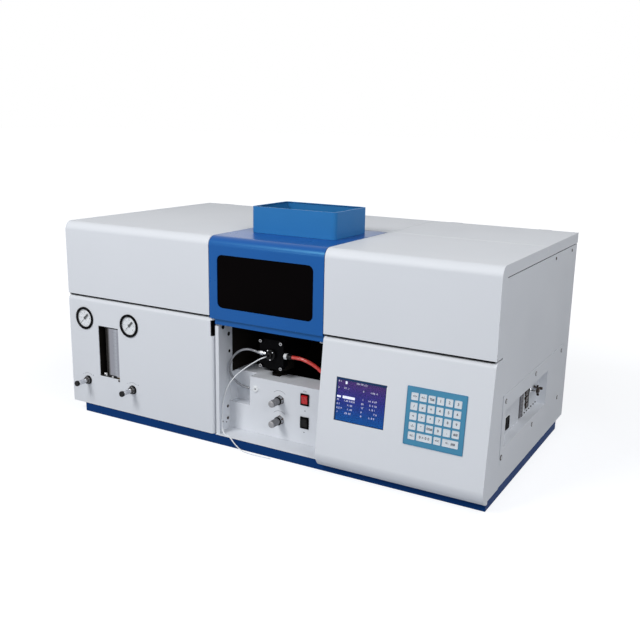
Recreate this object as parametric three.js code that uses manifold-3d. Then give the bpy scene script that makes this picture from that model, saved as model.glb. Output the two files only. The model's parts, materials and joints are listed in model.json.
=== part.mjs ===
// Bench-top atomic absorption spectrometer, in millimetres, +Z up, front towards -Y.
// Every piece is drawn in the cabinet's own frame: x from the left side, y from the front face and z from the
// underside of the plinth. The group at the end moves that frame, so that the origin is under the middle.
import * as THREE from "three";
import { mergeVertices } from "three/addons/utils/BufferGeometryUtils.js";
import Module from "manifold-3d";

const wasm = await Module();
wasm.setup();

// Overall sizes
const width = 1020;
const depth = 535;
const coverTop = 443;
const seamHeight = 274;
const footHeight = 6;

// Sheet metal and clearances
const sheet = 1.6;
const gap = 0.3;
const seam = 1.4;
const lidSeam = 3.6;
const sideSeam = 2.6;
const overrun = 6;
const foldRadius = 19;

// Plinth and feet
const plinthHeight = 16.7;
const plinthWall = 2;
const plinthDrop = 4.8;
const plinthLeftInset = 34;
const plinthRightInset = 3;
const plinthFrontInset = 3;
const plinthRearInset = 46;
const footRadius = 16;
const footInset = 34;

// Covers and their rear hinge
const hoodLeft = 406;
const hoodWidth = 270;
const coverFlange = 22;
const coverInnerFlange = 12;
const coverReturnTop = 30;
const coverReturnSeam = 37;
const coverLip = 12;
const hingeStandoff = 5;
const hingeDrop = 5;
const knuckleRadius = 4;
const hingeRodRadius = 2;
const knuckleLength = 30;
const knuckleRootHeight = 2;
const hingeRodInset = 18;
const lidKnuckleShares = [0.16, 0.78];

// Burner hood, window and chimney
const hoodBottom = 272.3;
const hoodHingeY = 274;
const hoodHingeDrop = 3;
const hoodKnuckleRadius = 2.6;
const hoodRodRadius = 1.2;
const hoodKnuckleLength = 26;
const hoodHingeGap = 3;
const hoodRodInset = 5;
const hoodKnuckleShares = [0.1, 0.5, 0.9];
const lipInset = 7;
const lipBottom = 258.9;
const windowLeft = 426;
const windowRight = 653;
const windowBottom = 297;
const windowTop = 407;
const windowRadius = 12;
const paneOverlap = 6;
const paneThickness = 3;
const chimneyLeft = 444;
const chimneyWidth = 201;
const chimneyFront = 97;
const chimneyDepth = 138;
const chimneyHeight = 55;
const chimneyRim = 4;
const chimneyRadius = 10;

// Side, rear and lower panels
const sideRecess = 1.5;
const lowerReturnBottom = 62;
const panelFlange = 26;
const panelRearFlange = 60;
const ventWidth = 4;
const ventLength = 60;
const ventPitch = 14;
const ventCount = 9;
const ventFromRear = 210;
const ventFromTop = 70;
const inletReach = 16;
const inletRadius = 5;
const inletPitch = 34;
const inletFromLeft = 120;
const inletAboveSeat = 70;
const inletCount = 3;

// Left lower panel with gauges, flowmeter and gas valves
const leftPanelWidth = 413;
const leftEdgeRadius = 8;
const panelTopRadius = 11;
const notchBottom = 233;
const notchHeight = 34;
const notchDepth = 6;
const gaugeRadius = 26;
const gaugeBodyRadius = 24;
const gaugeRimWidth = 2.5;
const gaugeProud = 2.5;
const gaugeBodyDepth = 32;
const gaugeDialDepth = 3;
const gaugeHeight = 223.3;
const gaugeXs = [47.7, 182];
const needleLength = 17;
const needleTail = 9;
const needleWidth = 2;
const needleThickness = 0.8;
const needleHubRadius = 2.6;
const needleRestAngle = 225;
const flowWindowLeft = 88;
const flowWindowWidth = 60;
const flowWindowBottom = 92;
const flowWindowHeight = 119;
const flowBlockLeft = 113;
const flowBlockWidth = 33;
const flowBlockInset = 3;
const flowBlockDepth = 22;
const flowBoreRadius = 4.5;
const floatRadius = 3.6;
const floatHeight = 9;
const valveHeight = 75.2;
const valveXs = [49.5, 186.5];
const valveNutRadius = 9;
const valveNutDepth = 7;
const valveStemRadius = 6;
const valveBodyWidth = 26;
const valveBodyDepth = 26;
const spindleRadius = 3;
const valveKnobRadius = 5.2;
const valveKnobLength = 31;
const valveCapRadius = 8;
const valveCapLength = 6;
const manifoldY = 40;
const manifoldDepth = 16;
const manifoldBar = 16;
const manifoldFoot = 40;
const footPlate = 6;
const branchRadius = 6;

// Right lower panel with display and keypad, in a plane that leans forward towards its foot
const leanDrop = 220;
const leanReach = 25.3;
const chinBottom = 11;
const chinSteps = 6;
const displayShares = [0.10391, 0.41418];
const displayTopDrop = 64;
const displayHeight = 85.2;
const displayRecess = 1;
const displayBoardMargin = 8;
const displayBoardDepth = 10;
const keypadShares = [0.53444, 0.87011];
const keypadTopDrop = 55;
const keypadHeight = 109.3;
const keypadThickness = 1;

// Service panel and its connectors on the right side
const serviceFront = 59;
const serviceRear = 490;
const serviceBottom = 65;
const serviceHeight = 134;
const servicePlate = 1.2;
const serviceScrewProud = 1.2;
const serviceScrewRadius = 3.5;
const recessFront = 76;
const recessLength = 287;
const recessBottom = 94;
const recessHeight = 74;
const recessDepth = 19;
const serviceScrewShares = [
  [0.032, 0.9], [0.483, 0.91], [0.951, 0.917],
  [0.946, 0.104], [0.48, 0.104], [0.016, 0.1],
];
const socketShares = [[0.213, 0.12, 0.3, 0.47], [0.54, 0.04, 0.645, 0.68], [0.69, 0.12, 0.79, 0.66]];
const socketProud = 3;
const socketPlateDepth = 4;

// Burner bay, its liner and the control box
const bayLeft = 419;
const bayRight = 664;
const bayFloorDepth = 110;
const jambDepth = 58;
const jambFlange = 7;
const jambFlangeTop = 256.5;
const jambTop = 424;
const jambSetback = 8;
const sideJambInset = 3;
const linerRear = 270;
const linerTop = 430;
const linerTopFlange = 20;
const beamY = 165;
const beamHeight = 305;
const beamHoleRadius = 20;
const controlFront = 50;
const controlTop = 144;
const controlRear = 106;
const controlLeftRear = 133;
const controlLeftWidth = 49;
const cornerWidth = 53;
const cornerDepth = 27;
const cornerFloor = 79;
const grommetX = 486.5;
const grommetHeight = 118;
const grommetRadius = 5;
const shelfSlotWidth = 23;
const shelfSlotFront = 80.5;
const adjustX = 548;
const adjustHeights = [105, 60.5];
const bushRadius = 9.5;
const bushProud = 8;
const adjustKnobRadius = 7.5;
const adjustKnobLength = 26;
const rockerX = 609;
const rockerHeights = [117.3, 67];
const rockerBezelWidth = 20;
const rockerBezelHeight = 25;
const rockerBezelThickness = 2;
const rockerCutWidth = 16;
const rockerCutHeight = 21.4;
const rockerWidth = 14;
const rockerRadius = 9.6;
const rockerPivotDepth = 1.5;
const rockerDish = 3;
const rockerFace = 5.5;
const rockerTilt = 8;
const rockerHousingDepth = 18;
const rockerWall = 1.1;

// Burner group
const burnerX = 516;
const columnY = 100;
const guideTop = 98;
const guideFrontWidth = 28;
const guideHalfWidth = 30;
const guideRear = 190;
const guideBlockTop = 120;
const guideBlockBottom = 46;
const guideThroat = 70;
const pocketDepth = 28;
const pocketLength = 36;
const pocketWidth = 20;
const slideWidth = 32;
const slideLength = 32;
const slideTop = 138;
const slideSleeveRadius = 10.9;
const slideDiscRadius = 16.5;
const slideDiscThickness = 3;
const columnRadius = 9;
const columnFoot = 84;
const cradleWidth = 52;
const cradleLength = 32;
const cradleBottom = 158.5;
const cradleTop = 190;
const chamberZ = 195;
const chamberRadius = 29;
const chamberWall = 4;
const chamberFront = 76;
const chamberRear = 180;
const chamberFlange = 7;
const capWidth = 60;
const capHeight = 64;
const capThickness = 9.7;
const capCorner = 12;
const capScrewRadius = 4;
const capScrewProud = 4;
const capScrewEdge = 5;
const neckRadius = 13;
const neckWall = 3;
const neckTop = 240;
const drainRadius = 5;
const drainLength = 16;
const drainY = 140;
const nebulizerRadius = 9;
const nebulizerFront = 52;
const nebulizerRear = 96;
const noseRadius = 3;
const noseLength = 6;
const portRadius = 3;
const portReach = 30;
const portY = 58;
const portRise = 3;
const fuelPortRadius = 4.5;
const fuelPortReach = 18;
const fuelPortY = 71;
const headLength = 124;
const headWidth = 34;
const headBottom = 268;
const headTop = 294;
const headTaper = 7;
const collarRadius = 17;
const collarBottom = 232;
const slotLength = 100;
const slotWidth = 1;
const slotDepth = 8;

// Lamp compartment
const turretY = 220;
const turretPitch = 55;
const turretPlateRadius = 82;
const turretPlate = 8;
const turretRear = 180;
const turretSpan = 116;
const turretShaft = 6;
const lampRadius = 18;
const lampBaseRadius = 14;
const lampBaseLength = 28;
const lampReach = 142;
const socketRadius = 17;
const socketLength = 20;
const lampHoleClearance = 1;
const carriageThickness = 6;
const carriageDepth = 180;
const uprightWidth = 60;
const uprightRise = 26;
const lensRadius = 22;
const lensWall = 4;
const lensLength = 62;
const lensPlateHalf = 28;
const lensPlate = 4;

// Monochromator and electronics
const monoShares = [0.0718, 0.8599];
const monoFront = 96;
const monoDepth = 330;
const monoBottom = 215;
const monoHeight = 170;
const monoLegWidth = 22;
const monoLegInset = 12;
const monoLidMargin = 8;
const monoLidHeight = 6;
const monoWall = 6;
const opticWidth = 14;
const opticDepth = 46;
const opticRise = 26;
const opticShares = [[0.8, 0.25], [0.84, 0.7], [0.2, 0.62]];
const detectorRadius = 24;
const detectorLength = 54;
const trayShares = [0.2411, 0.6789];
const trayFront = 110;
const trayDepth = 330;
const trayThickness = 3;
const supplyHeight = 90;
const boardHeight = 14;
const boardMargin = 8;
const chipHeight = 12;
const chipShares = [[0.32, 0.12, 0.52, 0.21], [0.18, 0.29, 0.82, 0.33]];
const finHeight = 26;
const finThickness = 4;
const finCount = 5;

// Hoses and capillary
const fuelHoseRadius = 4;
const gasHoseRadius = 2.5;
const capillaryRadius = 1.2;
const hoseSides = 10;
const capillarySides = 8;
const fuelHoseSteps = 22;
const gasHoseSteps = 34;
const capillaryUpperSteps = 22;
const capillaryLowerSteps = 64;

// Smoothness of round forms
const fineSides = 32;
const coarseSides = 20;
const screwSides = 12;
const nutSides = 6;
const rockerSteps = 14;
const foldSteps = 6;

const half = (value) => value / 2;
const radians = (degrees) => (degrees * Math.PI) / 180;
const seat = plinthHeight + gap;
const plinthFloor = plinthWall - plinthDrop + gap;
const hoodRight = hoodLeft + hoodWidth;
const hingeY = depth + hingeStandoff;
const hingeZ = coverTop - hingeDrop;
const hoodHingeZ = coverTop - hoodHingeDrop;
const bayFloorTop = seat + sheet;
const panelSpan = ([first, last]) => [first, last].map(
  (share) => hoodRight + seam + share * (width - hoodRight - seam));
const [displayLeft, displayRight] = panelSpan(displayShares);
const [keypadLeft, keypadRight] = panelSpan(keypadShares);
const [monoLeft, monoRight] = panelSpan(monoShares);
const [trayLeft, trayRight] = panelSpan(trayShares);

// Colours of the finishes
const finish = (color, roughness,
  metalness) => new THREE.MeshStandardMaterial({ color, roughness, metalness });
const finishes = {
  white: finish(0xd8dde4, 0.45, 0),
  blue: finish(0x1f5fa8, 0.4, 0),
  chimneyBlue: finish(0x2d78b8, 0.42, 0),
  navy: finish(0x1e4a8c, 0.5, 0),
  black: finish(0x17181a, 0.55, 0),
  tinted: finish(0x0b0c10, 0.1, 0),
  rubber: finish(0x1c1c1d, 0.9, 0),
  steel: finish(0xa7aab0, 0.3, 1),
  bronze: finish(0x6c5338, 0.35, 1),
  brass: finish(0xb08d47, 0.35, 1),
  casting: finish(0x8d9196, 0.5, 1),
  dial: finish(0xe8eaee, 0.5, 0),
  clear: finish(0xc9d2da, 0.1, 0),
  red: finish(0xc4252b, 0.35, 0),
  hoseRed: finish(0xb0201f, 0.45, 0),
  hoseClear: finish(0xd9dde0, 0.35, 0),
  display: finish(0x3a3f8f, 0.2, 0),
  keypad: finish(0x4f95b4, 0.5, 0),
  board: finish(0x1f6a45, 0.6, 0),
  lampGlass: finish(0xbcc7cc, 0.1, 0),
};

// Solids from three.js shapes
function solidOf(geometry) {
  const bare = new THREE.BufferGeometry();
  bare.setAttribute("position", geometry.getAttribute("position"));
  if (geometry.index) bare.setIndex(geometry.index);
  const merged = mergeVertices(bare);
  const vertProperties = Float32Array.from(merged.getAttribute("position").array);
  const triVerts = Uint32Array.from(merged.index.array);
  return new wasm.Manifold(new wasm.Mesh({ numProp: 3, vertProperties, triVerts }));
}

function join(first, ...others) {
  return others.reduce((whole, part) => whole.add(part), first);
}

function cut(whole, ...tools) {
  return tools.reduce((rest, tool) => rest.subtract(tool), whole);
}

// A block between two x, two y and two z values.
function block([x0, x1], [y0, y1], [z0, z1]) {
  const geometry = new THREE.BoxGeometry(x1 - x0, y1 - y0, z1 - z0);
  geometry.translate(half(x0 + x1), half(y0 + y1), half(z0 + z1));
  return solidOf(geometry);
}

// A closed outline run straight along one axis: drawn in (y, z) for x, in (x, z) for y and in (x, y) for z.
function prism(axis, outline, from, to) {
  const shape = new THREE.Shape(outline.map(([u, v]) => new THREE.Vector2(u, v)));
  const geometry = new THREE.ExtrudeGeometry(shape, { depth: to - from, bevelEnabled: false });
  const turned = new THREE.Matrix4();
  if (axis === "x") turned.set(0, 0, 1, from, 1, 0, 0, 0, 0, 1, 0, 0, 0, 0, 0, 1);
  if (axis === "y") turned.set(1, 0, 0, 0, 0, 0, -1, to, 0, 1, 0, 0, 0, 0, 0, 1);
  if (axis === "z") turned.set(1, 0, 0, 0, 0, 1, 0, 0, 0, 0, 1, from, 0, 0, 0, 1);
  return solidOf(geometry.applyMatrix4(turned));
}

// A straight round bar along an axis; its two other coordinates are given in x, y, z order.
function bar(axis, [first, second], [from, to], radius, sides = coarseSides, endRadius = radius) {
  const geometry = new THREE.CylinderGeometry(endRadius, radius, to - from, sides);
  const middle = half(from + to);
  if (axis === "x") geometry.rotateZ(-half(Math.PI)).translate(middle, first, second);
  if (axis === "y") geometry.translate(first, middle, second);
  if (axis === "z") geometry.rotateX(half(Math.PI)).translate(first, second, middle);
  return solidOf(geometry);
}

// Points of an arc from one angle to another, in degrees.
function arc(u, v, radius, start, end, steps = foldSteps) {
  return Array.from({ length: steps + 1 }, (_, i) => {
    const angle = radians(start + ((end - start) * i) / steps);
    return [u + radius * Math.cos(angle), v + radius * Math.sin(angle)];
  });
}

function roundedRectangle([u0, u1], [v0, v1], radius) {
  return [
    ...arc(u1 - radius, v1 - radius, radius, 0, 90),
    ...arc(u0 + radius, v1 - radius, radius, 90, 180),
    ...arc(u0 + radius, v0 + radius, radius, 180, 270),
    ...arc(u1 - radius, v0 + radius, radius, 270, 360),
  ];
}

// A round tube along a smooth curve through the given points.
function hose(points, radius, sides, steps) {
  const curve = new THREE.CatmullRomCurve3(points.map((point) => new THREE.Vector3(...point)), false,
    "centripetal");
  const ring = Array.from({ length: sides }, (_, i) => {
    const angle = (2 * Math.PI * i) / sides;
    return new THREE.Vector2(radius * Math.cos(angle), radius * Math.sin(angle));
  });
  const options = { steps, extrudePath: curve, bevelEnabled: false };
  return solidOf(new THREE.ExtrudeGeometry(new THREE.Shape(ring), options));
}

const cabinet = new THREE.Group();

function piece(name, solid, material, parent = cabinet) {
  const { vertProperties, triVerts } = solid.getMesh();
  const geometry = new THREE.BufferGeometry();
  geometry.setAttribute("position", new THREE.BufferAttribute(Float32Array.from(vertProperties), 3));
  geometry.setIndex(new THREE.BufferAttribute(Uint32Array.from(triVerts), 1));
  geometry.computeVertexNormals();
  const mesh = new THREE.Mesh(geometry, material);
  mesh.name = name;
  parent.add(mesh);
  return mesh;
}

// Plinth: an open tray of sheet steel on four rubber feet
function addPlinth() {
  const [left, right] = [plinthLeftInset, width - plinthRightInset];
  const [front, rear] = [plinthFrontInset, depth - plinthRearInset];
  const tray = cut(
    block([left, right], [front, rear], [-plinthDrop, plinthHeight]),
    block([left + plinthWall, right - plinthWall], [front + plinthWall, rear - plinthWall],
      [plinthWall - plinthDrop, plinthHeight + overrun]),
  );
  piece("base_plinth", tray, finishes.navy);
  for (const [side, x] of [["left", left + footInset], ["right", right - footInset]]) {
    for (const [end, y] of [["front", front + footInset], ["rear", rear - footInset]]) {
      piece(`foot_${end}_${side}`, bar("z", [x, y], [-footHeight, -plinthDrop - gap], footRadius),
        finishes.rubber);
    }
  }
}

// Outer line of a cover in (y, z): top, front fold and front face
function coverLine(rear, bottom) {
  return [
    [rear, coverTop],
    ...arc(foldRadius, coverTop - foldRadius, foldRadius, 90, 180),
    [0, bottom],
  ];
}

// The bent sheet itself, with an inward lip along its lower edge
function coverSheet(rear, bottom, lip, from, to) {
  const inner = arc(foldRadius, coverTop - foldRadius, foldRadius - sheet, 180, 90);
  const turned = [[lip, bottom], [lip, bottom + sheet], [sheet, bottom + sheet]];
  const lower = lip > sheet ? turned : [[sheet, bottom]];
  return prism("x", [...coverLine(rear, bottom), ...lower, ...inner, [rear, coverTop - sheet]], from, to);
}

// The flange along a cover's side, with the wider return of its front face
function coverSide(rear, bottom, drop, returnTop, returnSeam, from) {
  const outline = [
    ...coverLine(rear, bottom),
    [returnSeam, bottom],
    [returnTop, coverTop - drop],
    [rear, coverTop - drop],
  ];
  return prism("x", outline, from, from + sheet);
}

function knuckle(center, length, y, z, radius, rod) {
  const span = [center - half(length), center + half(length)];
  const bore = bar("x", [y, z], [span[0] - overrun, span[1] + overrun], rod);
  return { span, ring: bar("x", [y, z], span, radius), bore };
}

// Stations of a lid's knuckles, and of the rear panel's knuckles just beside them
function lidStations(left, right) {
  return lidKnuckleShares.map((share) => left + share * (right - left));
}

const lidSpans = { left: [0, hoodLeft - seam], right: [hoodRight + seam, width] };

function addLid(side) {
  const [left, right] = lidSpans[side];
  const bottom = seamHeight + lidSeam;
  const rear = depth;
  const flangeRear = depth - sheet - seam;
  const outer = side === "left" ? left : right - sheet;
  const inner = side === "left" ? right - sheet : left;
  let lid = join(
    coverSheet(rear, bottom, coverLip, left, right),
    coverSide(flangeRear, bottom, coverFlange, coverReturnTop, coverReturnSeam, outer),
    coverSide(flangeRear, bottom, coverInnerFlange, coverInnerFlange, coverInnerFlange, inner),
  );
  for (const x of lidStations(left, right)) {
    const { span, ring, bore } = knuckle(x, knuckleLength, hingeY, hingeZ, knuckleRadius,
      hingeRodRadius + gap);
    const strap = block(span, [rear - hingeStandoff, hingeY], [coverTop - sheet, coverTop]);
    lid = cut(join(lid, strap, ring), bore);
  }
  piece(`${side}_lid`, lid, finishes.white);
}

function addHingeRod() {
  const rod = bar("x", [hingeY, hingeZ], [hingeRodInset, width - hingeRodInset], hingeRodRadius);
  piece("rear_hinge_rod", rod, finishes.steel);
}

// Burner hood: bent sheet with window and flue opening; below it the sheet steps back into a lip
function addHood() {
  const rear = hoodHingeY - hoodHingeGap;
  const flangeRear = rear - coverInnerFlange;
  const lip = prism("x", [
    [0, hoodBottom],
    [lipInset, hoodBottom],
    [lipInset, lipBottom],
    [lipInset + sheet, lipBottom],
    [lipInset + sheet, hoodBottom + sheet],
    [0, hoodBottom + sheet],
  ], leftPanelWidth + seam, hoodRight - seam);
  const flanges = [hoodLeft, hoodRight - sheet].map((x) => coverSide(
    flangeRear, seamHeight + lidSeam, coverInnerFlange, coverInnerFlange, coverInnerFlange, x));
  const frame = join(coverSheet(rear, hoodBottom, sheet, hoodLeft, hoodRight), ...flanges, lip);
  const opening = prism("y",
    roundedRectangle([windowLeft, windowRight], [windowBottom, windowTop], windowRadius), -overrun, overrun);
  let hood = cut(frame, opening, flue(sheet, coverTop - overrun, coverTop + overrun));
  for (const share of hoodKnuckleShares) {
    const x = hoodLeft + share * hoodWidth;
    const { span, ring, bore } = knuckle(x, hoodKnuckleLength, hoodHingeY, hoodHingeZ, hoodKnuckleRadius,
      hoodRodRadius + gap);
    const strap = block(span, [rear - hoodHingeGap, hoodHingeY], [coverTop - sheet, coverTop]);
    hood = cut(join(hood, strap, ring), bore);
  }
  piece("hood", hood, finishes.blue);
}

// The chimney's section, drawn in by a wall
function flue(wall, bottom, top) {
  const section = roundedRectangle(
    [chimneyLeft + wall, chimneyLeft + chimneyWidth - wall],
    [chimneyFront + wall, chimneyFront + chimneyDepth - wall],
    chimneyRadius - wall,
  );
  return prism("z", section, bottom, top);
}

function addWindow() {
  const pane = prism("y", roundedRectangle(
    [windowLeft - paneOverlap, windowRight + paneOverlap],
    [windowBottom - paneOverlap, windowTop + paneOverlap],
    windowRadius), sheet + gap, sheet + gap + paneThickness);
  piece("hood_window", pane, finishes.tinted);
}

function addChimney() {
  const [bottom, top] = [coverTop + gap, coverTop + chimneyHeight];
  const duct = cut(flue(0, bottom, top), flue(sheet, bottom - overrun, top + overrun));
  const rim = cut(flue(half(sheet), top - sheet, top), flue(chimneyRim, top - overrun, top + overrun));
  piece("chimney", join(duct, rim), finishes.chimneyBlue);
}

function addHoodRod() {
  const rod = bar("x", [hoodHingeY, hoodHingeZ], [hoodLeft + hoodRodInset, hoodRight - hoodRodInset],
    hoodRodRadius);
  piece("hood_hinge_rod", rod, finishes.steel);
}

// Fixed cover behind the hood, which carries the hood's hinge
function addMiddleCover() {
  const front = hoodHingeY + hoodHingeGap;
  const [top, bottom] = [coverTop, coverTop - coverInnerFlange];
  let cover = cut(
    block([hoodLeft, hoodRight], [front, depth], [bottom, top]),
    block([hoodLeft + sheet, hoodRight - sheet], [front - overrun, depth + overrun],
      [bottom - overrun, top - sheet]),
    block([hoodLeft - overrun, hoodRight + overrun], [depth - sheet - seam, depth + overrun],
      [bottom - overrun, top - sheet]),
  );
  const [first, second, third] = hoodKnuckleShares;
  for (const share of [half(first + second), half(second + third)]) {
    const x = hoodLeft + share * hoodWidth;
    const { span, ring, bore } = knuckle(x, hoodKnuckleLength, hoodHingeY, hoodHingeZ, hoodKnuckleRadius,
      hoodRodRadius + gap);
    const strap = block(span, [hoodHingeY, front + hoodHingeGap], [top - sheet, top]);
    cover = cut(join(cover, strap, ring), bore);
  }
  piece("middle_rear_cover", cover, finishes.white);
}

// Side panels hang below the covers' flanges; their front edges follow the returns of the front panels
function sideOutline(foot) {
  const top = coverTop - coverFlange - sideSeam;
  const rise = (top - seamHeight) / (coverTop - coverFlange - seamHeight);
  const frontTop = coverReturnSeam + (coverReturnTop - coverReturnSeam) * rise + sideSeam;
  return [
    [frontTop, top],
    [coverReturnSeam + sideSeam, seamHeight],
    [foot + sideSeam, seat],
    [depth, seat],
    [depth, top],
  ];
}

function addSidePanels() {
  const [vents, top] = [[], coverTop - ventFromTop];
  for (let i = 0; i < ventCount; i += 1) {
    const y = depth - ventFromRear + i * ventPitch;
    vents.push(block([-overrun, overrun], [y, y + ventWidth], [top - ventLength, top]));
  }
  const left = join(
    prism("x", sideOutline(coverReturnSeam), 0, sheet),
    block([0, panelRearFlange], [coverReturnSeam + seam, depth - panelRearFlange], [seat, seat + sheet]),
  );
  piece("left_side_panel", cut(left, ...vents), finishes.white);
  const outer = width - sideRecess;
  const margin = seam + servicePlate;
  const right = join(
    prism("x", sideOutline(lowerReturnBottom), outer - sheet, outer),
    block([outer - panelFlange, outer], [lowerReturnBottom + seam, depth - panelRearFlange],
      [seat, seat + sheet]),
  );
  const opening = block([outer - overrun, outer + overrun],
    [recessFront - margin, recessFront + recessLength + margin],
    [recessBottom - margin, recessBottom + recessHeight + margin]);
  piece("right_side_panel", cut(right, opening), finishes.white);
}

function addRearPanel() {
  const [left, right] = [sheet + gap, width - sideRecess - sheet - gap];
  const [bottom, top] = [seat, coverTop - sheet - gap];
  let panel = join(
    block([left, right], [depth - sheet, depth], [bottom, top]),
    block([left, right], [depth - panelRearFlange + gap, depth], [bottom, bottom + sheet]),
  );
  for (let i = 0; i < inletCount; i += 1) {
    const center = [inletFromLeft + i * inletPitch, bottom + inletAboveSeat];
    panel = cut(
      join(panel, bar("y", center, [depth - sheet, depth + inletReach], inletRadius)),
      bar("y", center, [depth - overrun, depth + inletReach + overrun], half(inletRadius)),
    );
  }
  for (let i = 0; i < ventCount; i += 1) {
    const x = width - ventFromRear + i * ventPitch;
    panel = cut(panel, block([x, x + ventWidth], [depth - overrun, depth + overrun],
      [top - ventFromTop - ventLength, top - ventFromTop]));
  }
  for (const side of ["left", "right"]) {
    for (const x of lidStations(...lidSpans[side])) {
      const { span, ring, bore } = knuckle(x + knuckleLength + seam, knuckleLength, hingeY, hingeZ,
        knuckleRadius,
        hingeRodRadius + gap);
      const low = hingeZ - knuckleRadius;
      const strap = block(span, [depth - sheet, hingeY], [low, low + knuckleRootHeight]);
      panel = cut(join(panel, strap, ring), bore);
    }
  }
  piece("rear_panel", panel, finishes.white);
}

// Left lower panel: a shallow sheet tray, rounded along its top and its right edge
function addLeftPanel() {
  const tray = (inset) => {
    const radius = panelTopRadius - inset;
    const side = prism("x", [
      [inset, seat + inset],
      [inset, seamHeight - panelTopRadius],
      ...arc(panelTopRadius, seamHeight - panelTopRadius, radius, 180, 90),
      [coverReturnSeam + inset * overrun, seamHeight - inset],
      [coverReturnSeam + inset * overrun, seat + inset],
    ], inset, leftPanelWidth - inset);
    const plan = prism("z", [
      [inset, coverReturnSeam + inset * overrun],
      [inset, inset],
      ...arc(leftPanelWidth - leftEdgeRadius, leftEdgeRadius, leftEdgeRadius - inset, 270, 360),
      [leftPanelWidth - inset, coverReturnSeam + inset * overrun],
    ], seat, seamHeight);
    return side.intersect(plan);
  };
  const through = [-overrun, overrun];
  const holes = [
    ...gaugeXs.map((x) => bar("y", [x, gaugeHeight], through, gaugeBodyRadius + gap, fineSides)),
    ...valveXs.map((x) => bar("y", [x, valveHeight], through, valveStemRadius + gap)),
    block([flowWindowLeft, flowWindowLeft + flowWindowWidth], through,
      [flowWindowBottom, flowWindowBottom + flowWindowHeight]),
    block([leftPanelWidth - notchDepth, leftPanelWidth + overrun], [-overrun, leftEdgeRadius + overrun],
      [notchBottom, notchBottom + notchHeight]),
  ];
  piece("left_lower_panel", cut(tray(0), tray(sheet), ...holes), finishes.white);
}

// Pressure gauges: a rim in front of the panel, a case behind it and a pointer over the dial
function addGauges() {
  ["left", "right"].forEach((side, i) => {
    const center = [gaugeXs[i], gaugeHeight];
    const dial = gaugeDialDepth - gaugeProud;
    const gauge = cut(
      join(
        bar("y", center, [-gaugeProud, -gap], gaugeRadius, fineSides),
        bar("y", center, [-half(gaugeProud), gaugeBodyDepth], gaugeBodyRadius, fineSides),
      ),
      bar("y", center, [-gaugeProud - overrun, dial], gaugeRadius - gaugeRimWidth, fineSides),
      bar("y", center, [dial - overrun, dial + overrun], needleWidth),
    );
    piece(`pressure_gauge_${side}`, gauge, finishes.dial);
    const [front, back] = [dial - gap - needleThickness, dial - gap];
    const bladeOutline = [
      [-needleTail, -half(needleWidth)],
      [0, -half(needleWidth)],
      [needleLength, -half(half(needleWidth))],
      [needleLength, half(half(needleWidth))],
      [0, half(needleWidth)],
      [-needleTail, half(needleWidth)],
    ];
    const turned = bladeOutline.map(([u, v]) => {
      const [c, s] = [Math.cos(radians(needleRestAngle)), Math.sin(radians(needleRestAngle))];
      return [center[0] + u * c - v * s, center[1] + u * s + v * c];
    });
    const needle = join(
      prism("y", turned, front, back),
      bar("y", center, [front - gap, back], needleHubRadius),
      bar("y", center, [front, dial + half(overrun)], needleWidth - gap),
    );
    piece(`gauge_needle_${side}`, needle, finishes.black);
  });
}

// Flowmeter: a clear block with a float in its bore, held between two arms of the gas manifold
const flowBore = [flowBlockLeft + half(flowBlockWidth), flowBlockInset + half(flowBlockDepth)];
const flowBottom = flowWindowBottom + flowBlockInset;
const flowTop = flowWindowBottom + flowWindowHeight - flowBlockInset;

function addFlowmeter() {
  const body = cut(
    block([flowBlockLeft, flowBlockLeft + flowBlockWidth], [flowBlockInset, flowBlockInset + flowBlockDepth],
      [flowBottom, flowTop]),
    bar("z", flowBore, [flowBottom - overrun, flowTop + overrun], flowBoreRadius),
  );
  piece("flowmeter_block", body, finishes.clear);
  const foot = flowBottom + gap;
  const bob = join(
    bar("z", flowBore, [foot, foot + half(floatHeight)], half(floatRadius), coarseSides, floatRadius),
    bar("z", flowBore, [foot + half(floatHeight), foot + floatHeight], floatRadius),
  );
  piece("flowmeter_float", bob, finishes.steel);
}

function addManifold() {
  const back = manifoldY + manifoldDepth;
  const armTop = [flowTop + gap, flowTop + gap + manifoldBar];
  const armBottom = [flowBottom - gap - manifoldBar, flowBottom - gap];
  const armX = [flowBlockLeft, flowBlockLeft + flowBlockWidth];
  const spine = block(armX, [manifoldY, back], [armBottom[0], armTop[1]]);
  const arms = [armTop, armBottom].map((z) => block(armX, [flowBlockInset + sheet, back], z));
  const [gaugeLow, valveLow] = [gaugeHeight - half(manifoldBar), valveHeight - half(manifoldBar)];
  const rails = [gaugeLow, valveLow].map((z) => block(
    [gaugeXs[0] - half(manifoldBar), valveXs[1] + half(manifoldBar)], [manifoldY, back],
      [z, z + manifoldBar]));
  const stubs = [
    ...gaugeXs.map((x) => bar("y", [x, gaugeHeight], [gaugeBodyDepth + gap, manifoldY + half(manifoldDepth)],
      branchRadius)),
    ...valveXs.map((x) => bar("y", [x, valveHeight],
      [sheet + gap + valveBodyDepth + gap, manifoldY + half(manifoldDepth)], branchRadius)),
  ];
  const floor = plinthFloor;
  const foot = block(armX, [manifoldY, back + manifoldFoot], [floor, floor + footPlate]);
  const leg = block(armX, [manifoldY, back], [floor, armBottom[1]]);
  piece("gas_manifold", join(spine, ...arms, ...rails, ...stubs, leg, foot), finishes.brass);
}

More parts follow.
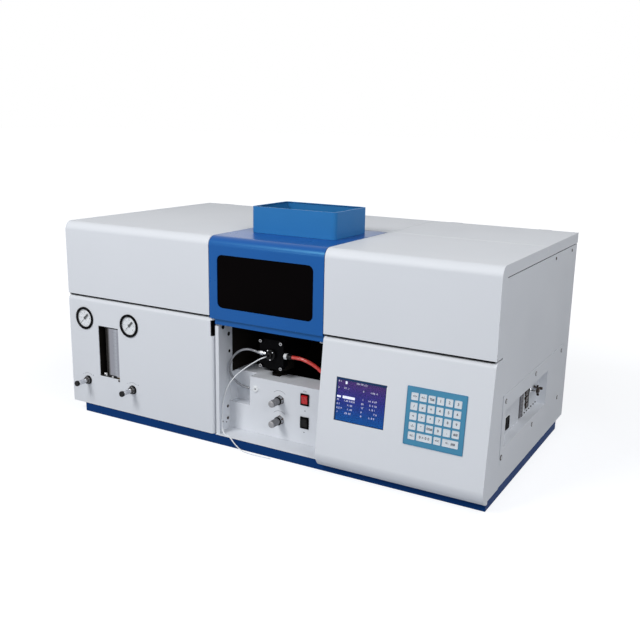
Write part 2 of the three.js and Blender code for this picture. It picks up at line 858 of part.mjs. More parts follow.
// Gas valves: hexagon nut and neck through the panel, body behind it, and a slim knob on the spindle
function addValves() {
  ["left", "right"].forEach((side, i) => {
    const center = [valveXs[i], valveHeight];
    const body = [sheet + gap, sheet + gap + valveBodyDepth];
    const valve = cut(
      join(
        bar("y", center, [-gap - valveNutDepth, -gap], valveNutRadius, nutSides),
        bar("y", center, [-half(valveNutDepth), body[1]], valveStemRadius),
        block([center[0] - half(valveBodyWidth), center[0] + half(valveBodyWidth)], body,
          [center[1] - half(valveBodyWidth), center[1] + half(valveBodyWidth)]),
      ),
      bar("y", center, [-valveNutDepth - overrun, body[1] - overrun], spindleRadius + gap),
    );
    piece(`gas_valve_${side}`, valve, finishes.bronze);
    const root = -gap - valveNutDepth - gap;
    const knob = join(
      bar("y", center, [root - valveKnobLength, root], valveKnobRadius),
      bar("y", center, [root - valveKnobLength, root - valveKnobLength + valveCapLength], valveCapRadius),
      bar("y", center, [root - overrun, body[1] - overrun - gap], spindleRadius),
    );
    piece(`gas_valve_knob_${side}`, knob, finishes.steel);
  });
}

// Right lower panel: vertical at the seam, leaning out to its chin and curving back under
const lean = Math.atan(leanReach / leanDrop);
const faceTop = [
  panelTopRadius - panelTopRadius * Math.cos(lean),
  seamHeight - panelTopRadius + panelTopRadius * Math.sin(lean),
];
const faceFoot = [faceTop[0] - leanReach, faceTop[1] - leanDrop];

function rightPanelLine(inset) {
  const leanDegrees = (180 * lean) / Math.PI;
  return [
    [coverReturnSeam + inset * overrun, seamHeight - inset],
    ...arc(panelTopRadius, seamHeight - panelTopRadius, panelTopRadius - inset, 90, 180 - leanDegrees),
    ...arc(0, 0, 1, 180, 270, chinSteps).map(([u, v]) => [
      u * (-faceFoot[0] - inset),
      faceFoot[1] + v * (faceFoot[1] - chinBottom - inset),
    ]),
    [plinthFrontInset - gap - inset, chinBottom + inset],
    [plinthFrontInset - gap - inset, seat + inset],
    [lowerReturnBottom + inset * overrun, seat + inset],
  ];
}

const displayFrame = new THREE.Group();
displayFrame.position.set(0, ...faceTop);
displayFrame.rotation.x = -lean;

function addRightPanel() {
  const [left, right] = [hoodRight + seam, width];
  const shell = cut(
    prism("x", rightPanelLine(0), left, right),
    prism("x", rightPanelLine(sheet), left + sheet, right - sheet),
  );
  const face = new THREE.Matrix4().makeRotationX(-lean).setPosition(0, ...faceTop).toArray();
  const window = block([displayLeft, displayRight], [-overrun, overrun],
    [-displayTopDrop - displayHeight, -displayTopDrop]).transform(face);
  const keypadMiddle = half(keypadLeft + keypadRight);
  const tail = block([keypadMiddle - overrun, keypadMiddle + overrun], [-overrun, overrun],
    [-keypadTopDrop - keypadHeight + sheet, -keypadTopDrop - keypadHeight + overrun]).transform(face);
  piece("right_lower_panel", cut(shell, window, tail), finishes.white);
}

function addDisplay() {
  const [left, right] = [displayLeft, displayRight];
  const [bottom, top] = [-displayTopDrop - displayHeight, -displayTopDrop];
  const back = sheet + gap;
  const module = join(
    block([left + gap, right - gap], [displayRecess, back + displayBoardDepth], [bottom + gap, top - gap]),
    block([left - displayBoardMargin, right + displayBoardMargin], [back, back + displayBoardDepth],
      [bottom - displayBoardMargin, top + displayBoardMargin]),
  );
  piece("display_module", module, finishes.display, displayFrame);
  const sheetFront = -gap - keypadThickness;
  const keypad = block([keypadLeft, keypadRight], [sheetFront, -gap],
    [-keypadTopDrop - keypadHeight, -keypadTopDrop]);
  piece("keypad_membrane", keypad, finishes.keypad, displayFrame);
}

// Service panel on the right side: a screwed plate with a shallow pan, and the sockets in it
const serviceOuter = width - sideRecess + gap + servicePlate;
const panBack = serviceOuter - recessDepth;

function socketSpans([y0, z0, y1, z1]) {
  return [
    [recessFront + y0 * recessLength, recessFront + y1 * recessLength],
    [recessBottom + z0 * recessHeight, recessBottom + z1 * recessHeight],
  ];
}

function addServicePanel() {
  const inner = serviceOuter - servicePlate;
  const [yIn, zIn] = [[recessFront, recessFront + recessLength], [recessBottom, recessBottom + recessHeight]];
  const grow = ([a, b], by) => [a - by, b + by];
  let panel = join(
    block([inner, serviceOuter], [serviceFront, serviceRear], [serviceBottom, serviceBottom + serviceHeight]),
    block([panBack - servicePlate, serviceOuter], grow(yIn, servicePlate), grow(zIn, servicePlate)),
  );
  panel = cut(panel, block([panBack, serviceOuter + overrun], yIn, zIn));
  for (const [yShare, zShare] of serviceScrewShares) {
    const center = [serviceFront + yShare * (serviceRear - serviceFront),
      serviceBottom + zShare * serviceHeight];
    panel = join(panel, bar("x", center, [inner, serviceOuter + serviceScrewProud], serviceScrewRadius,
      screwSides));
  }
  const cuts = socketShares.map((shares) => {
    const [y, z] = socketSpans(shares);
    return block([panBack - overrun, panBack + overrun], grow(y, gap), grow(z, gap));
  });
  piece("service_panel", cut(panel, ...cuts), finishes.white);
  const back = panBack - servicePlate - gap;
  const plate = block([back - socketPlateDepth, back],
    [recessFront + overrun, recessFront + recessLength - overrun],
    [recessBottom + half(overrun), recessBottom + recessHeight - half(overrun)]);
  const sockets = socketShares.map((shares) => {
    const [y, z] = socketSpans(shares);
    return block([back - socketPlateDepth, panBack + socketProud], y, z);
  });
  piece("service_connectors", join(plate, ...sockets), finishes.black);
}

// Burner bay: white floor and jambs in one bent sheet. The right jamb steps out below the hood, beside the panel
function addBaySurround() {
  const outer = hoodRight + seam - gap;
  const [front, rear] = [plinthFrontInset, plinthFrontInset + jambDepth];
  const floor = block([bayLeft - sheet, outer], [0, bayFloorDepth], [seat, bayFloorTop]);
  const jambOutline = [
    [plinthFrontInset, seat],
    [plinthFrontInset, jambFlangeTop],
    [plinthFrontInset + jambSetback, jambFlangeTop],
    [plinthFrontInset + jambSetback, jambTop],
    [plinthFrontInset + jambDepth, jambTop],
    [plinthFrontInset + jambDepth, seat],
  ];
  const surround = join(
    floor,
    prism("x", jambOutline, bayLeft - sheet, bayLeft),
    block([bayLeft - sheet, bayLeft + jambFlange], [front, front + sheet], [seat, jambFlangeTop]),
    block([outer - sheet, outer], [front + sideJambInset, rear], [seat, jambFlangeTop]),
    block([bayRight, outer], [rear - sheet, rear], [seat, jambFlangeTop]),
    block([bayRight, outer], [front + jambSetback, rear], [jambFlangeTop - sheet, jambFlangeTop]),
    block([bayRight, bayRight + sheet], [front + jambSetback, rear], [jambFlangeTop - sheet, jambTop]),
  );
  piece("bay_surround", surround, finishes.white);
}

// Black liner around the flame: two side walls with beam holes, a rear wall and a flange under the rear cover
function addLiner() {
  const [left, right] = [bayLeft - sheet, bayRight + sheet];
  const front = plinthFrontInset + jambDepth + gap;
  const bottom = bayFloorTop + gap;
  const box = cut(
    block([left, right], [front, linerRear], [bottom, linerTop]),
    block([left + sheet, right - sheet], [front - overrun, linerRear - sheet],
      [bottom - overrun, linerTop + overrun]),
    bar("x", [beamY, beamHeight], [left - overrun, right + overrun], beamHoleRadius),
  );
  const ledge = join(
    block([left, right], [linerRear - sheet, linerRear], [bottom, coverTop - sheet - gap]),
    block([left, right], [linerRear - sheet, linerRear + linerTopFlange],
      [coverTop - sheet - gap - sheet, coverTop - sheet - gap]),
  );
  const hingeRoom = block([left - overrun, right + overrun],
    [linerRear - overrun, hoodHingeY + hoodHingeGap + sheet],
      [hoodHingeZ - hoodKnuckleRadius - seam, coverTop]);
  const rise = block([left, right],
    [hoodHingeY + hoodHingeGap + sheet, hoodHingeY + hoodHingeGap + sheet + sheet],
    [linerTop - coverInnerFlange, coverTop - sheet - gap]);
  const link = block([left, right], [linerRear - sheet, hoodHingeY + hoodHingeGap + sheet + sheet],
    [linerTop - coverInnerFlange, linerTop - coverInnerFlange + sheet]);
  piece("bay_liner", join(cut(join(box, ledge), hingeRoom), rise, link), finishes.black);
}

// Control box: folded white sheet with a corner cut out of it, open behind and below
function addControlBox() {
  const [left, right] = [bayLeft + gap, bayRight - gap];
  const bottom = bayFloorTop + gap;
  const corner = left + cornerWidth;
  const shell = (inset, open) => join(
    block([left + inset, right - inset], [controlFront + inset, controlRear + open],
      [bottom - open, cornerFloor - inset]),
    block([corner + inset, right - inset], [controlFront + inset, controlRear + open],
      [bottom - open, controlTop - inset]),
    block([left + inset, right - inset], [controlFront + cornerDepth + inset, controlRear + open],
      [bottom - open, controlTop - inset]),
    block([left + inset, left + controlLeftWidth - inset],
      [controlFront + cornerDepth + inset, controlLeftRear + open],
      [bottom - open, controlTop - inset]),
  );
  const through = [controlFront - overrun, controlFront + overrun];
  const holes = [
    ...adjustHeights.map((z) => bar("y", [adjustX, z], through, bushRadius + gap)),
    ...rockerHeights.map((z) => block(
      [rockerX - half(rockerCutWidth) - gap, rockerX + half(rockerCutWidth) + gap], through,
      [z - half(rockerCutHeight) - gap, z + half(rockerCutHeight) + gap])),
    bar("y", [grommetX, grommetHeight], through, grommetRadius),
    block([burnerX - half(shelfSlotWidth), burnerX + half(shelfSlotWidth)],
      [shelfSlotFront, controlRear + overrun],
      [controlTop - overrun, controlTop + overrun]),
    bar("x", gasHoseEntry, [corner - overrun, corner + overrun], gasHoseRadius + gap),
    bar("z", fuelHoseEntry, [controlTop - overrun, controlTop + overrun], fuelHoseRadius + gap),
  ];
  const cornerSide = block([left, left + sheet], [controlFront, controlFront + cornerDepth + sheet],
    [cornerFloor - sheet, controlTop]);
  piece("control_box", join(cut(shell(0, 0), shell(sheet, overrun), ...holes), cornerSide), finishes.white);
}

// Switch housing with two bezels, and the rockers in it
function addRockers() {
  const front = controlFront - gap;
  const back = controlFront + rockerHousingDepth;
  const spanX = (size) => [rockerX - half(size), rockerX + half(size)];
  const spanZ = (z, size) => [z - half(size), z + half(size)];
  let housing = block(spanX(rockerCutWidth), [back - rockerDish, back],
    [rockerHeights[1] - half(rockerCutHeight), rockerHeights[0] + half(rockerCutHeight)]);
  for (const z of rockerHeights) {
    housing = join(
      housing,
      block(spanX(rockerBezelWidth), [front - rockerBezelThickness, front], spanZ(z, rockerBezelHeight)),
      block(spanX(rockerCutWidth), [front - rockerBezelThickness, back], spanZ(z, rockerCutHeight)),
    );
  }
  for (const z of rockerHeights) {
    housing = cut(housing,
      block(spanX(rockerWidth + gap + gap), [front - overrun, back - rockerDish - rockerDish],
      spanZ(z, rockerCutHeight - rockerWall - half(rockerWall))));
  }
  piece("switch_mount", housing, finishes.black);
  const pivot = controlFront + rockerPivotDepth;
  const faceHeight = Math.sqrt(rockerRadius * rockerRadius - rockerFace * rockerFace);
  const faceAngle = (Math.atan2(faceHeight, -rockerFace) * 180) / Math.PI;
  const [c, s] = [Math.cos(radians(rockerTilt)), Math.sin(radians(rockerTilt))];
  ["red", "black"].forEach((colour, i) => {
    const outline = [...arc(0, 0, rockerRadius, faceAngle, -faceAngle, rockerSteps), [-rockerDish, 0]];
    const tilted = outline.map(([y, z]) => [pivot + y * c - z * s, rockerHeights[i] + y * s + z * c]);
    piece(`${colour}_rocker`, prism("x", tilted, ...spanX(rockerWidth)), finishes[colour]);
  });
}

// Guide casting: two bushes for the adjusting knobs and a pedestal for the slide
function addGuide() {
  const bottom = bayFloorTop + gap;
  const front = controlFront + sheet + gap;
  const bushFront = controlFront - bushProud;
  const throat = columnY - half(slideLength) - half(shelfSlotWidth);
  const blockX = [burnerX + half(slideWidth) + guideClearance, adjustX + half(guideFrontWidth)];
  let casting = join(
    block(blockX, [front, throat + guideFrontWidth], [guideBlockBottom, guideBlockTop]),
    block([burnerX - guideHalfWidth, blockX[1]], [throat, guideRear], [bottom, guideTop]),
    ...adjustHeights.map((z) => bar("y", [adjustX, z], [bushFront, front + overrun], bushRadius)),
  );
  casting = cut(
    casting,
    ...adjustHeights.map((z) => bar("y", [adjustX, z], [bushFront - overrun, throat], spindleRadius + gap)),
    block([burnerX - half(pocketWidth), burnerX + half(pocketWidth)],
      [columnY - half(pocketLength), columnY + half(pocketLength)],
        [guideTop - pocketDepth, guideTop + overrun]),
  );
  piece("burner_guide", casting, finishes.casting);
}

const guideClearance = 2;

function addAdjustKnobs() {
  const names = ["height_knob", "fore_aft_knob"];
  adjustHeights.forEach((z, i) => {
    const root = controlFront - bushProud - gap;
    const knob = join(
      bar("y", [adjustX, z], [root - adjustKnobLength, root], adjustKnobRadius),
      bar("y", [adjustX, z], [root - overrun, guideThroat - gap], spindleRadius),
    );
    piece(names[i], knob, finishes.steel);
  });
}

// Fore-and-aft slide with its sleeve and disc over the shelf, and the lift column with the cradle
function addSlideAndLift() {
  const spanX = (size) => [burnerX - half(size), burnerX + half(size)];
  const spanY = (size) => [columnY - half(size), columnY + half(size)];
  const foot = guideTop + gap;
  const discBottom = controlTop + gap;
  const discTop = discBottom + slideDiscThickness;
  const slide = cut(
    join(
      block(spanX(slideWidth), spanY(slideLength), [foot, slideTop]),
      bar("z", [burnerX, columnY], [slideTop - overrun, discTop], slideSleeveRadius, fineSides),
      bar("z", [burnerX, columnY], [discBottom, discTop], slideDiscRadius, fineSides),
    ),
    bar("z", [burnerX, columnY], [foot - overrun, discTop + overrun], columnRadius + gap, fineSides),
  );
  piece("burner_slide", slide, finishes.black);
  const lift = cut(
    join(
      bar("z", [burnerX, columnY], [columnFoot, cradleBottom + overrun], columnRadius, fineSides),
      block(spanX(cradleWidth), spanY(cradleLength), [cradleBottom, cradleTop]),
    ),
    bar("y", [burnerX, chamberZ], [columnY - cradleLength, columnY + cradleLength], chamberRadius + gap,
      fineSides),
  );
  piece("burner_lift", lift, finishes.black);
}

function capOutline() {
  return roundedRectangle([burnerX - half(capWidth), burnerX + half(capWidth)],
    [chamberZ - half(capHeight), chamberZ + half(capHeight)], capCorner);
}

function addSprayChamber() {
  const center = [burnerX, chamberZ];
  const chamber = cut(
    join(
      bar("y", center, [chamberFront, chamberRear], chamberRadius, fineSides),
      prism("y", capOutline(), chamberFront, chamberFront + chamberFlange),
      bar("z", [burnerX, beamY], [chamberZ, neckTop], neckRadius),
      bar("z", [burnerX, drainY], [chamberZ - chamberRadius - drainLength, chamberZ], drainRadius),
    ),
    bar("y", center, [chamberFront - overrun, chamberRear - chamberWall], chamberRadius - chamberWall,
      fineSides),
    bar("z", [burnerX, beamY], [chamberZ, neckTop + overrun], neckRadius - neckWall),
    bar("z", [burnerX, drainY], [chamberZ - chamberRadius - drainLength - overrun, chamberZ],
      half(drainRadius)),
  );
  piece("spray_chamber", chamber, finishes.black);
}

function addEndCap() {
  const back = chamberFront - gap;
  const front = back - capThickness;
  let cap = join(
    prism("y", capOutline(), front, back),
    bar("x", [fuelPortY, chamberZ],
      [burnerX + half(capWidth) - overrun, burnerX + half(capWidth) + fuelPortReach],
      fuelPortRadius),
  );
  for (const sx of [-1, 1]) {
    for (const sz of [-1, 1]) {
      const center = [burnerX + sx * (half(capWidth) - capScrewEdge),
        chamberZ + sz * (half(capHeight) - capScrewEdge)];
      cap = join(cap, bar("y", center, [front - capScrewProud, back], capScrewRadius, screwSides));
    }
  }
  cap = cut(cap, bar("y", [burnerX, chamberZ], [front - overrun, back + overrun], nebulizerRadius + gap));
  piece("end_cap", cap, finishes.black);
}

function addNebulizer() {
  const center = [burnerX, chamberZ];
  const nebulizer = join(
    bar("y", center, [nebulizerFront, nebulizerRear], nebulizerRadius),
    bar("y", center, [nebulizerFront - noseLength, nebulizerFront + overrun], noseRadius),
    bar("x", [portY, chamberZ + portRise], [burnerX - portReach, burnerX], portRadius),
  );
  piece("nebulizer", nebulizer, finishes.steel);
}

function addBurnerHead() {
  const halfLength = half(headLength);
  const halfWidth = half(headWidth);
  const shoulder = headBottom + half(headTop - headBottom);
  const bottomHalf = halfLength - headTaper;
  const body = prism("y", [
    [burnerX - bottomHalf, headBottom],
    [burnerX + bottomHalf, headBottom],
    [burnerX + halfLength, shoulder],
    [burnerX + halfLength, headTop],
    [burnerX - halfLength, headTop],
    [burnerX - halfLength, shoulder],
  ], beamY - halfWidth, beamY + halfWidth);
  const head = cut(
    join(body, bar("z", [burnerX, beamY], [collarBottom, headBottom + overrun], collarRadius)),
    bar("z", [burnerX, beamY], [collarBottom - overrun, neckTop + gap + slotWidth], neckRadius + gap),
    block([burnerX - half(slotLength), burnerX + half(slotLength)],
      [beamY - half(slotWidth), beamY + half(slotWidth)],
      [headTop - slotDepth, headTop + overrun]),
  );
  piece("burner_head", head, finishes.steel);
}

// Hoses: the red one from the end cap to the shelf, the clear one from the nebulizer to the control box
const fuelHoseEntry = [648, 76];
const gasHoseEntry = [62, 112];
const fuelHosePoints = [
  [564.3, 71, 195], [572, 71, 195.3], [584, 71, 195.2], [598, 71.5, 192.5], [612, 72.5, 187.5],
  [625, 73.8, 180.5], [636, 75, 171.5], [643.5, 75.8, 161], [647.3, 76, 150], [648, 76, 140], [648, 76, 132],
];
const gasHosePoints = [
  [485.7, 58, 198], [476, 58, 199.3], [466, 58, 200], [456, 57.2, 199], [446, 55, 195.5], [437, 51, 189],
  [431, 45.5, 180], [428.5, 40.5, 170], [428.3, 37.5, 160], [429.3, 38.5, 149], [431.5, 43, 138],
  [435.5, 49.5, 127.5], [442, 56, 119], [451, 60.5, 113.8], [462, 62, 112], [476, 62, 112],
];

// Sample capillary: from the nebulizer past the jamb, over the floor's edge and onto the bench
const capillaryUpperPoints = [
  [516, 45.7, 195], [515.6, 41, 194.8], [511.5, 37.3, 193], [504.5, 35, 189], [496, 33.4, 183.2],
  [487, 32.2, 177], [477.5, 31.3, 170], [468, 30.5, 162.6], [458.8, 29.8, 154.5],
];
const capillaryLowerPoints = [
  [458.6, 29.8, 154.3], [450, 29.2, 146], [442, 28.4, 136.8], [435, 27, 126], [429.8, 24.6, 114.5],
  [426.8, 21.4, 101.5], [425.4, 17.8, 87.5], [425, 15.4, 70], [425.4, 13.6, 52], [426.8, 11.4, 36],
  [430.6, 8.6, 25.2], [437, 5.2, 20.8], [445, 2, 20.3], [453, -0.4, 19.9], [460, -2.4, 16.6],
  [466.6, -3, 10.6], [473.5, -2.6, 4.4], [481.5, -2.6, -0.9], [491, -3.6, -3.9], [502, -5, -4.7],
  [514, -5.8, -4.7], [527, -5.8, -4.7], [540, -5.2, -4.7], [551, -4.4, -4.7], [560, -4, -4.7],
];

function addHoses() {
  piece("fuel_hose", hose(fuelHosePoints, fuelHoseRadius, hoseSides, fuelHoseSteps), finishes.hoseRed);
  piece("nebulizer_hose", hose(gasHosePoints, gasHoseRadius, hoseSides, gasHoseSteps), finishes.hoseClear);
  piece("capillary_upper", hose(capillaryUpperPoints, capillaryRadius, capillarySides, capillaryUpperSteps),
    finishes.hoseClear);
  piece("capillary_lower", hose(capillaryLowerPoints, capillaryRadius, capillarySides, capillaryLowerSteps),
    finishes.hoseClear);
}

// Lamp compartment: turret with lamps on a carriage, and a lens barrel on each side of the bay
function addLamps() {
  const trayFloor = plinthFloor;
  const [front, rear] = [turretRear, turretRear + turretSpan];
  const uprights = [
    [front - turretPlate - gap - carriageThickness, front - turretPlate - gap],
    [front + lampReach + seam, front + lampReach + seam + carriageThickness],
  ];
  const carriage = cut(
    join(
      block([uprights[0][0] - overrun, uprights[1][1] + overrun],
        [turretY - half(carriageDepth), turretY + half(carriageDepth)],
          [trayFloor, trayFloor + carriageThickness]),
      ...uprights.map((x) => block(x, [turretY - half(uprightWidth), turretY + half(uprightWidth)],
        [trayFloor, beamHeight - turretPlateRadius - seam])),
      ...uprights.map((x) => block(x,
        [turretY - half(half(uprightWidth)), turretY + half(half(uprightWidth))],
        [trayFloor, beamHeight + uprightRise])),
    ),
    bar("x", [turretY, beamHeight], [uprights[0][0] - overrun, uprights[1][1] + overrun], turretShaft + gap),
  );
  piece("lamp_carriage", carriage, finishes.casting);
  const stations = [[-turretPitch, 0], [0, turretPitch], [turretPitch, 0], [0, -turretPitch]];
  const centers = stations.map(([y, z]) => [turretY + y, beamHeight + z]);
  const turret = cut(
    join(
      bar("x", [turretY, beamHeight], [uprights[0][0] - overrun, uprights[1][1] + overrun], turretShaft),
      bar("x", [turretY, beamHeight], [front - turretPlate, front], turretPlateRadius, fineSides),
      bar("x", [turretY, beamHeight], [rear, rear + turretPlate], turretPlateRadius, fineSides),
      bar("x", [turretY, beamHeight], [front - half(turretPlate), rear + half(turretPlate)],
        turretShaft + turretShaft),
      ...centers.map((center) => bar("x", center, [front - half(turretPlate), front + socketLength],
        socketRadius)),
    ),
    ...centers.map((center) => bar("x", center, [rear - overrun, rear + turretPlate + overrun],
      lampRadius + lampHoleClearance)),
    ...centers.map((center) => bar("x", center, [front, front + socketLength + overrun],
      lampBaseRadius + gap)),
  );
  piece("lamp_turret", turret, finishes.black);
  [centers[0], centers[2]].forEach((center, i) => {
    const lamp = join(
      bar("x", center, [front + gap, front + gap + lampBaseLength], lampBaseRadius),
      bar("x", center, [front + lampBaseLength, front + lampReach], lampRadius),
    );
    piece(`hollow_cathode_lamp_${i + 1}`, lamp, finishes.lampGlass);
  });
}

function addLensBarrels() {
  const sides = { left: bayLeft - sheet - gap, right: bayRight + sheet + gap };
  for (const [side, wall] of Object.entries(sides)) {
    const out = side === "left" ? -1 : 1;
    const span = (length) => (out < 0 ? [wall - length, wall] : [wall, wall + length]);
    const reach = side === "left" ? lensLength : monoLeft - gap - wall;
    const barrel = cut(
      join(
        bar("x", [beamY, beamHeight], span(reach), lensRadius, fineSides),
        block(span(lensPlate), [beamY - lensPlateHalf, beamY + lensPlateHalf],
          [beamHeight - lensPlateHalf, beamHeight + lensPlateHalf]),
      ),
      bar("x", [beamY, beamHeight], [span(reach)[0] - overrun, span(reach)[1] + overrun],
        lensRadius - lensWall, fineSides),
    );
    piece(`lens_barrel_${side}`, barrel, finishes.black);
  }
}

// Its legs stand on either side of the electronics tray
function addMonochromator() {
  const [left, right] = [monoLeft, monoRight];
  const [front, rear] = [monoFront, monoFront + monoDepth];
  const top = monoBottom + monoHeight;
  const legs = [];
  for (const x of [half(left + trayLeft - monoLegWidth), half(trayRight + right - monoLegWidth)]) {
    for (const y of [front + monoLegInset, rear - monoLegInset - monoLegWidth]) {
      legs.push(block([x, x + monoLegWidth], [y, y + monoLegWidth],
        [plinthFloor, monoBottom + monoLidHeight]));
    }
  }
  const slit = bar("x", [beamY, beamHeight], [left - overrun, left + overrun + overrun],
    lensRadius - lensWall - lensWall);
  const room = block([left + monoWall, right - monoWall], [front + monoWall, rear - monoWall],
    [monoBottom + monoWall, top - monoWall]);
  const optics = opticShares.map(([x, y]) => block(
    [left + x * (right - left) - half(opticWidth), left + x * (right - left) + half(opticWidth)],
    [front + y * monoDepth - half(opticDepth), front + y * monoDepth + half(opticDepth)],
    [monoBottom + half(monoWall), beamHeight + opticRise]));
  const body = join(
    block([left, right], [front, rear], [monoBottom, top]),
    block([left + monoLidMargin, right - monoLidMargin], [front + monoLidMargin, rear - monoLidMargin],
      [top - monoLidHeight, top + monoLidHeight]),
    bar("y", [half(left + right), half(monoBottom + top)], [rear - overrun, rear + detectorLength],
      detectorRadius, fineSides),
    ...legs,
  );
  piece("monochromator", join(cut(body, room, slit), ...optics), finishes.casting);
}

function addElectronics() {
  const bottom = plinthFloor;
  const top = bottom + trayThickness;
  const [left, right] = [trayLeft, trayRight];
  const [front, rear] = [trayFront, trayFront + trayDepth];
  const middle = half(front + rear);
  const parts = [
    block([left, right], [front, rear], [bottom, top]),
    block([left + boardMargin, right - boardMargin], [middle + boardMargin, rear - boardMargin],
      [top - half(trayThickness), top + supplyHeight]),
    block([left + boardMargin, right - boardMargin], [front + boardMargin, middle - boardMargin],
      [top - half(trayThickness), top + boardHeight]),
    ...chipShares.map(([x0, y0, x1, y1]) => block(
      [left + x0 * (right - left), left + x1 * (right - left)],
      [front + y0 * trayDepth, front + y1 * trayDepth],
      [top, top + boardHeight + chipHeight])),
  ];
  for (let i = 0; i < finCount; i += 1) {
    const span = right - left - boardMargin - boardMargin - finThickness;
    const x = left + boardMargin + (i * span) / (finCount - 1);
    parts.push(block([x, x + finThickness], [middle + boardMargin, rear - boardMargin],
      [top + supplyHeight - finThickness, top + supplyHeight + finHeight]));
  }
  piece("electronics_tray", join(...parts), finishes.board);
}

addPlinth();
addLid("left");
addLid("right");
addHingeRod();
addHood();
addWindow();
addChimney();
addHoodRod();
addMiddleCover();
addSidePanels();
addRearPanel();
addLeftPanel();
addGauges();
addFlowmeter();
addManifold();
addValves();
addRightPanel();
addDisplay();
addServicePanel();
addBaySurround();
addLiner();
addControlBox();
addRockers();
addGuide();
addAdjustKnobs();
addSlideAndLift();
addSprayChamber();
addEndCap();
addNebulizer();
addBurnerHead();
addHoses();
addLamps();
addLensBarrels();
addMonochromator();
addElectronics();

// The origin lies on the bench, under the middle of the whole instrument
const frontReach = gap + valveNutDepth + gap + valveKnobLength;
const rightReach = serviceOuter + serviceScrewProud;
cabinet.add(displayFrame);
cabinet.position.set(-half(rightReach), -half(depth + inletReach - frontReach), footHeight);
const instrument = new THREE.Group();
instrument.add(cabinet);

export default instrument;
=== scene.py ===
"""Bench-top atomic absorption spectrometer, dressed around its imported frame.

Sizes are in millimetres in the cabinet's own frame, as the solids have them: x from the left side, y from the
front face, z from the underside of the plinth. The function at() turns such a point into metres on the bench.
"""

from __future__ import annotations

import json
import logging
import math
from collections.abc import Callable
from dataclasses import dataclass
from enum import Enum

import bpy
from mathutils import Matrix, Vector

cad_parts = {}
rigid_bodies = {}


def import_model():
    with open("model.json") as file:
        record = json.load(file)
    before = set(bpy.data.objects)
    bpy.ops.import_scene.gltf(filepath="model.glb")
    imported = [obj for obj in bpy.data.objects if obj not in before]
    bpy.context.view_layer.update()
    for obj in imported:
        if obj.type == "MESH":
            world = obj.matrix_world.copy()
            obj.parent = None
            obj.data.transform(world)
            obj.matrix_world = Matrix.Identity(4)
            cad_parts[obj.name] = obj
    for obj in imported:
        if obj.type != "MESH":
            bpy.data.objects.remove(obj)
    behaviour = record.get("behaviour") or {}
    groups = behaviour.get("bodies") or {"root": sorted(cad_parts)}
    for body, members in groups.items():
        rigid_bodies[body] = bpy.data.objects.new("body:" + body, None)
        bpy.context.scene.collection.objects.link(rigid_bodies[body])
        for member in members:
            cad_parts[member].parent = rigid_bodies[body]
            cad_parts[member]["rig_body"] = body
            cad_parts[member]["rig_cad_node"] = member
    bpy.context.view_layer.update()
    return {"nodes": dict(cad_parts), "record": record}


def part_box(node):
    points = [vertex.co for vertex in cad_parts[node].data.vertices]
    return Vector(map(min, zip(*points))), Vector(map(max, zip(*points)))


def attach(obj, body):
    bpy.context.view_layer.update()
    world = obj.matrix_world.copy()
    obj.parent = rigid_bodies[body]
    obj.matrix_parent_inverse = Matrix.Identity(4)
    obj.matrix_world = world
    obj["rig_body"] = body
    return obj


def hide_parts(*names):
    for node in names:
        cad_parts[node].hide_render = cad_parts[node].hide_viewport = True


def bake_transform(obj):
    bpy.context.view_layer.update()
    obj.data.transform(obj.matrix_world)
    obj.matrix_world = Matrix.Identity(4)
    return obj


log = logging.getLogger("spectrometer")

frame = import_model()

MM = 0.001
COVER_TOP = 443.0
ROOT_BODY = "cabinet"
FACE_TOP = Vector((0.0, 0.072, 264.256))
FACE_LEAN = math.atan(25.3 / 220.0)

Piece = bpy.types.Object
Colour = tuple[float, float, float]
Triple = tuple[float, float, float]
Span = tuple[float, float]

NOISE_RANGE: Span = (0.25, 0.75)
GRAIN_DEPTH = 0.0004
SMOOTH_ANGLE = math.radians(35)
ROUND_ANGLE = math.radians(60)


class Axis(Enum):
    """Direction that a round part runs along, with the turn that takes +Z there."""

    X = (Vector((1, 0, 0)), (0.0, math.pi / 2, 0.0))
    Y = (Vector((0, 1, 0)), (-math.pi / 2, 0.0, 0.0))
    Z = (Vector((0, 0, 1)), (0.0, 0.0, 0.0))

    @property
    def direction(self) -> Vector:
        """Unit vector along the axis."""
        return self.value[0]

    @property
    def turn(self) -> tuple[float, float, float]:
        """Euler angles that lay a primitive along the axis."""
        return self.value[1]


def origin_shift() -> Vector:
    """Millimetres from the cabinet's own frame to the bench's, read off the left cover's corner."""
    low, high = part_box("left_lid")
    return Vector((low[0] / MM, low[1] / MM, high[2] / MM - COVER_TOP))


ORIGIN_SHIFT = origin_shift()


def at(x: float, y: float, z: float) -> Vector:
    """Place in metres of a point given in the cabinet's millimetres."""
    return (Vector((x, y, z)) + ORIGIN_SHIFT) * MM


# Finishes


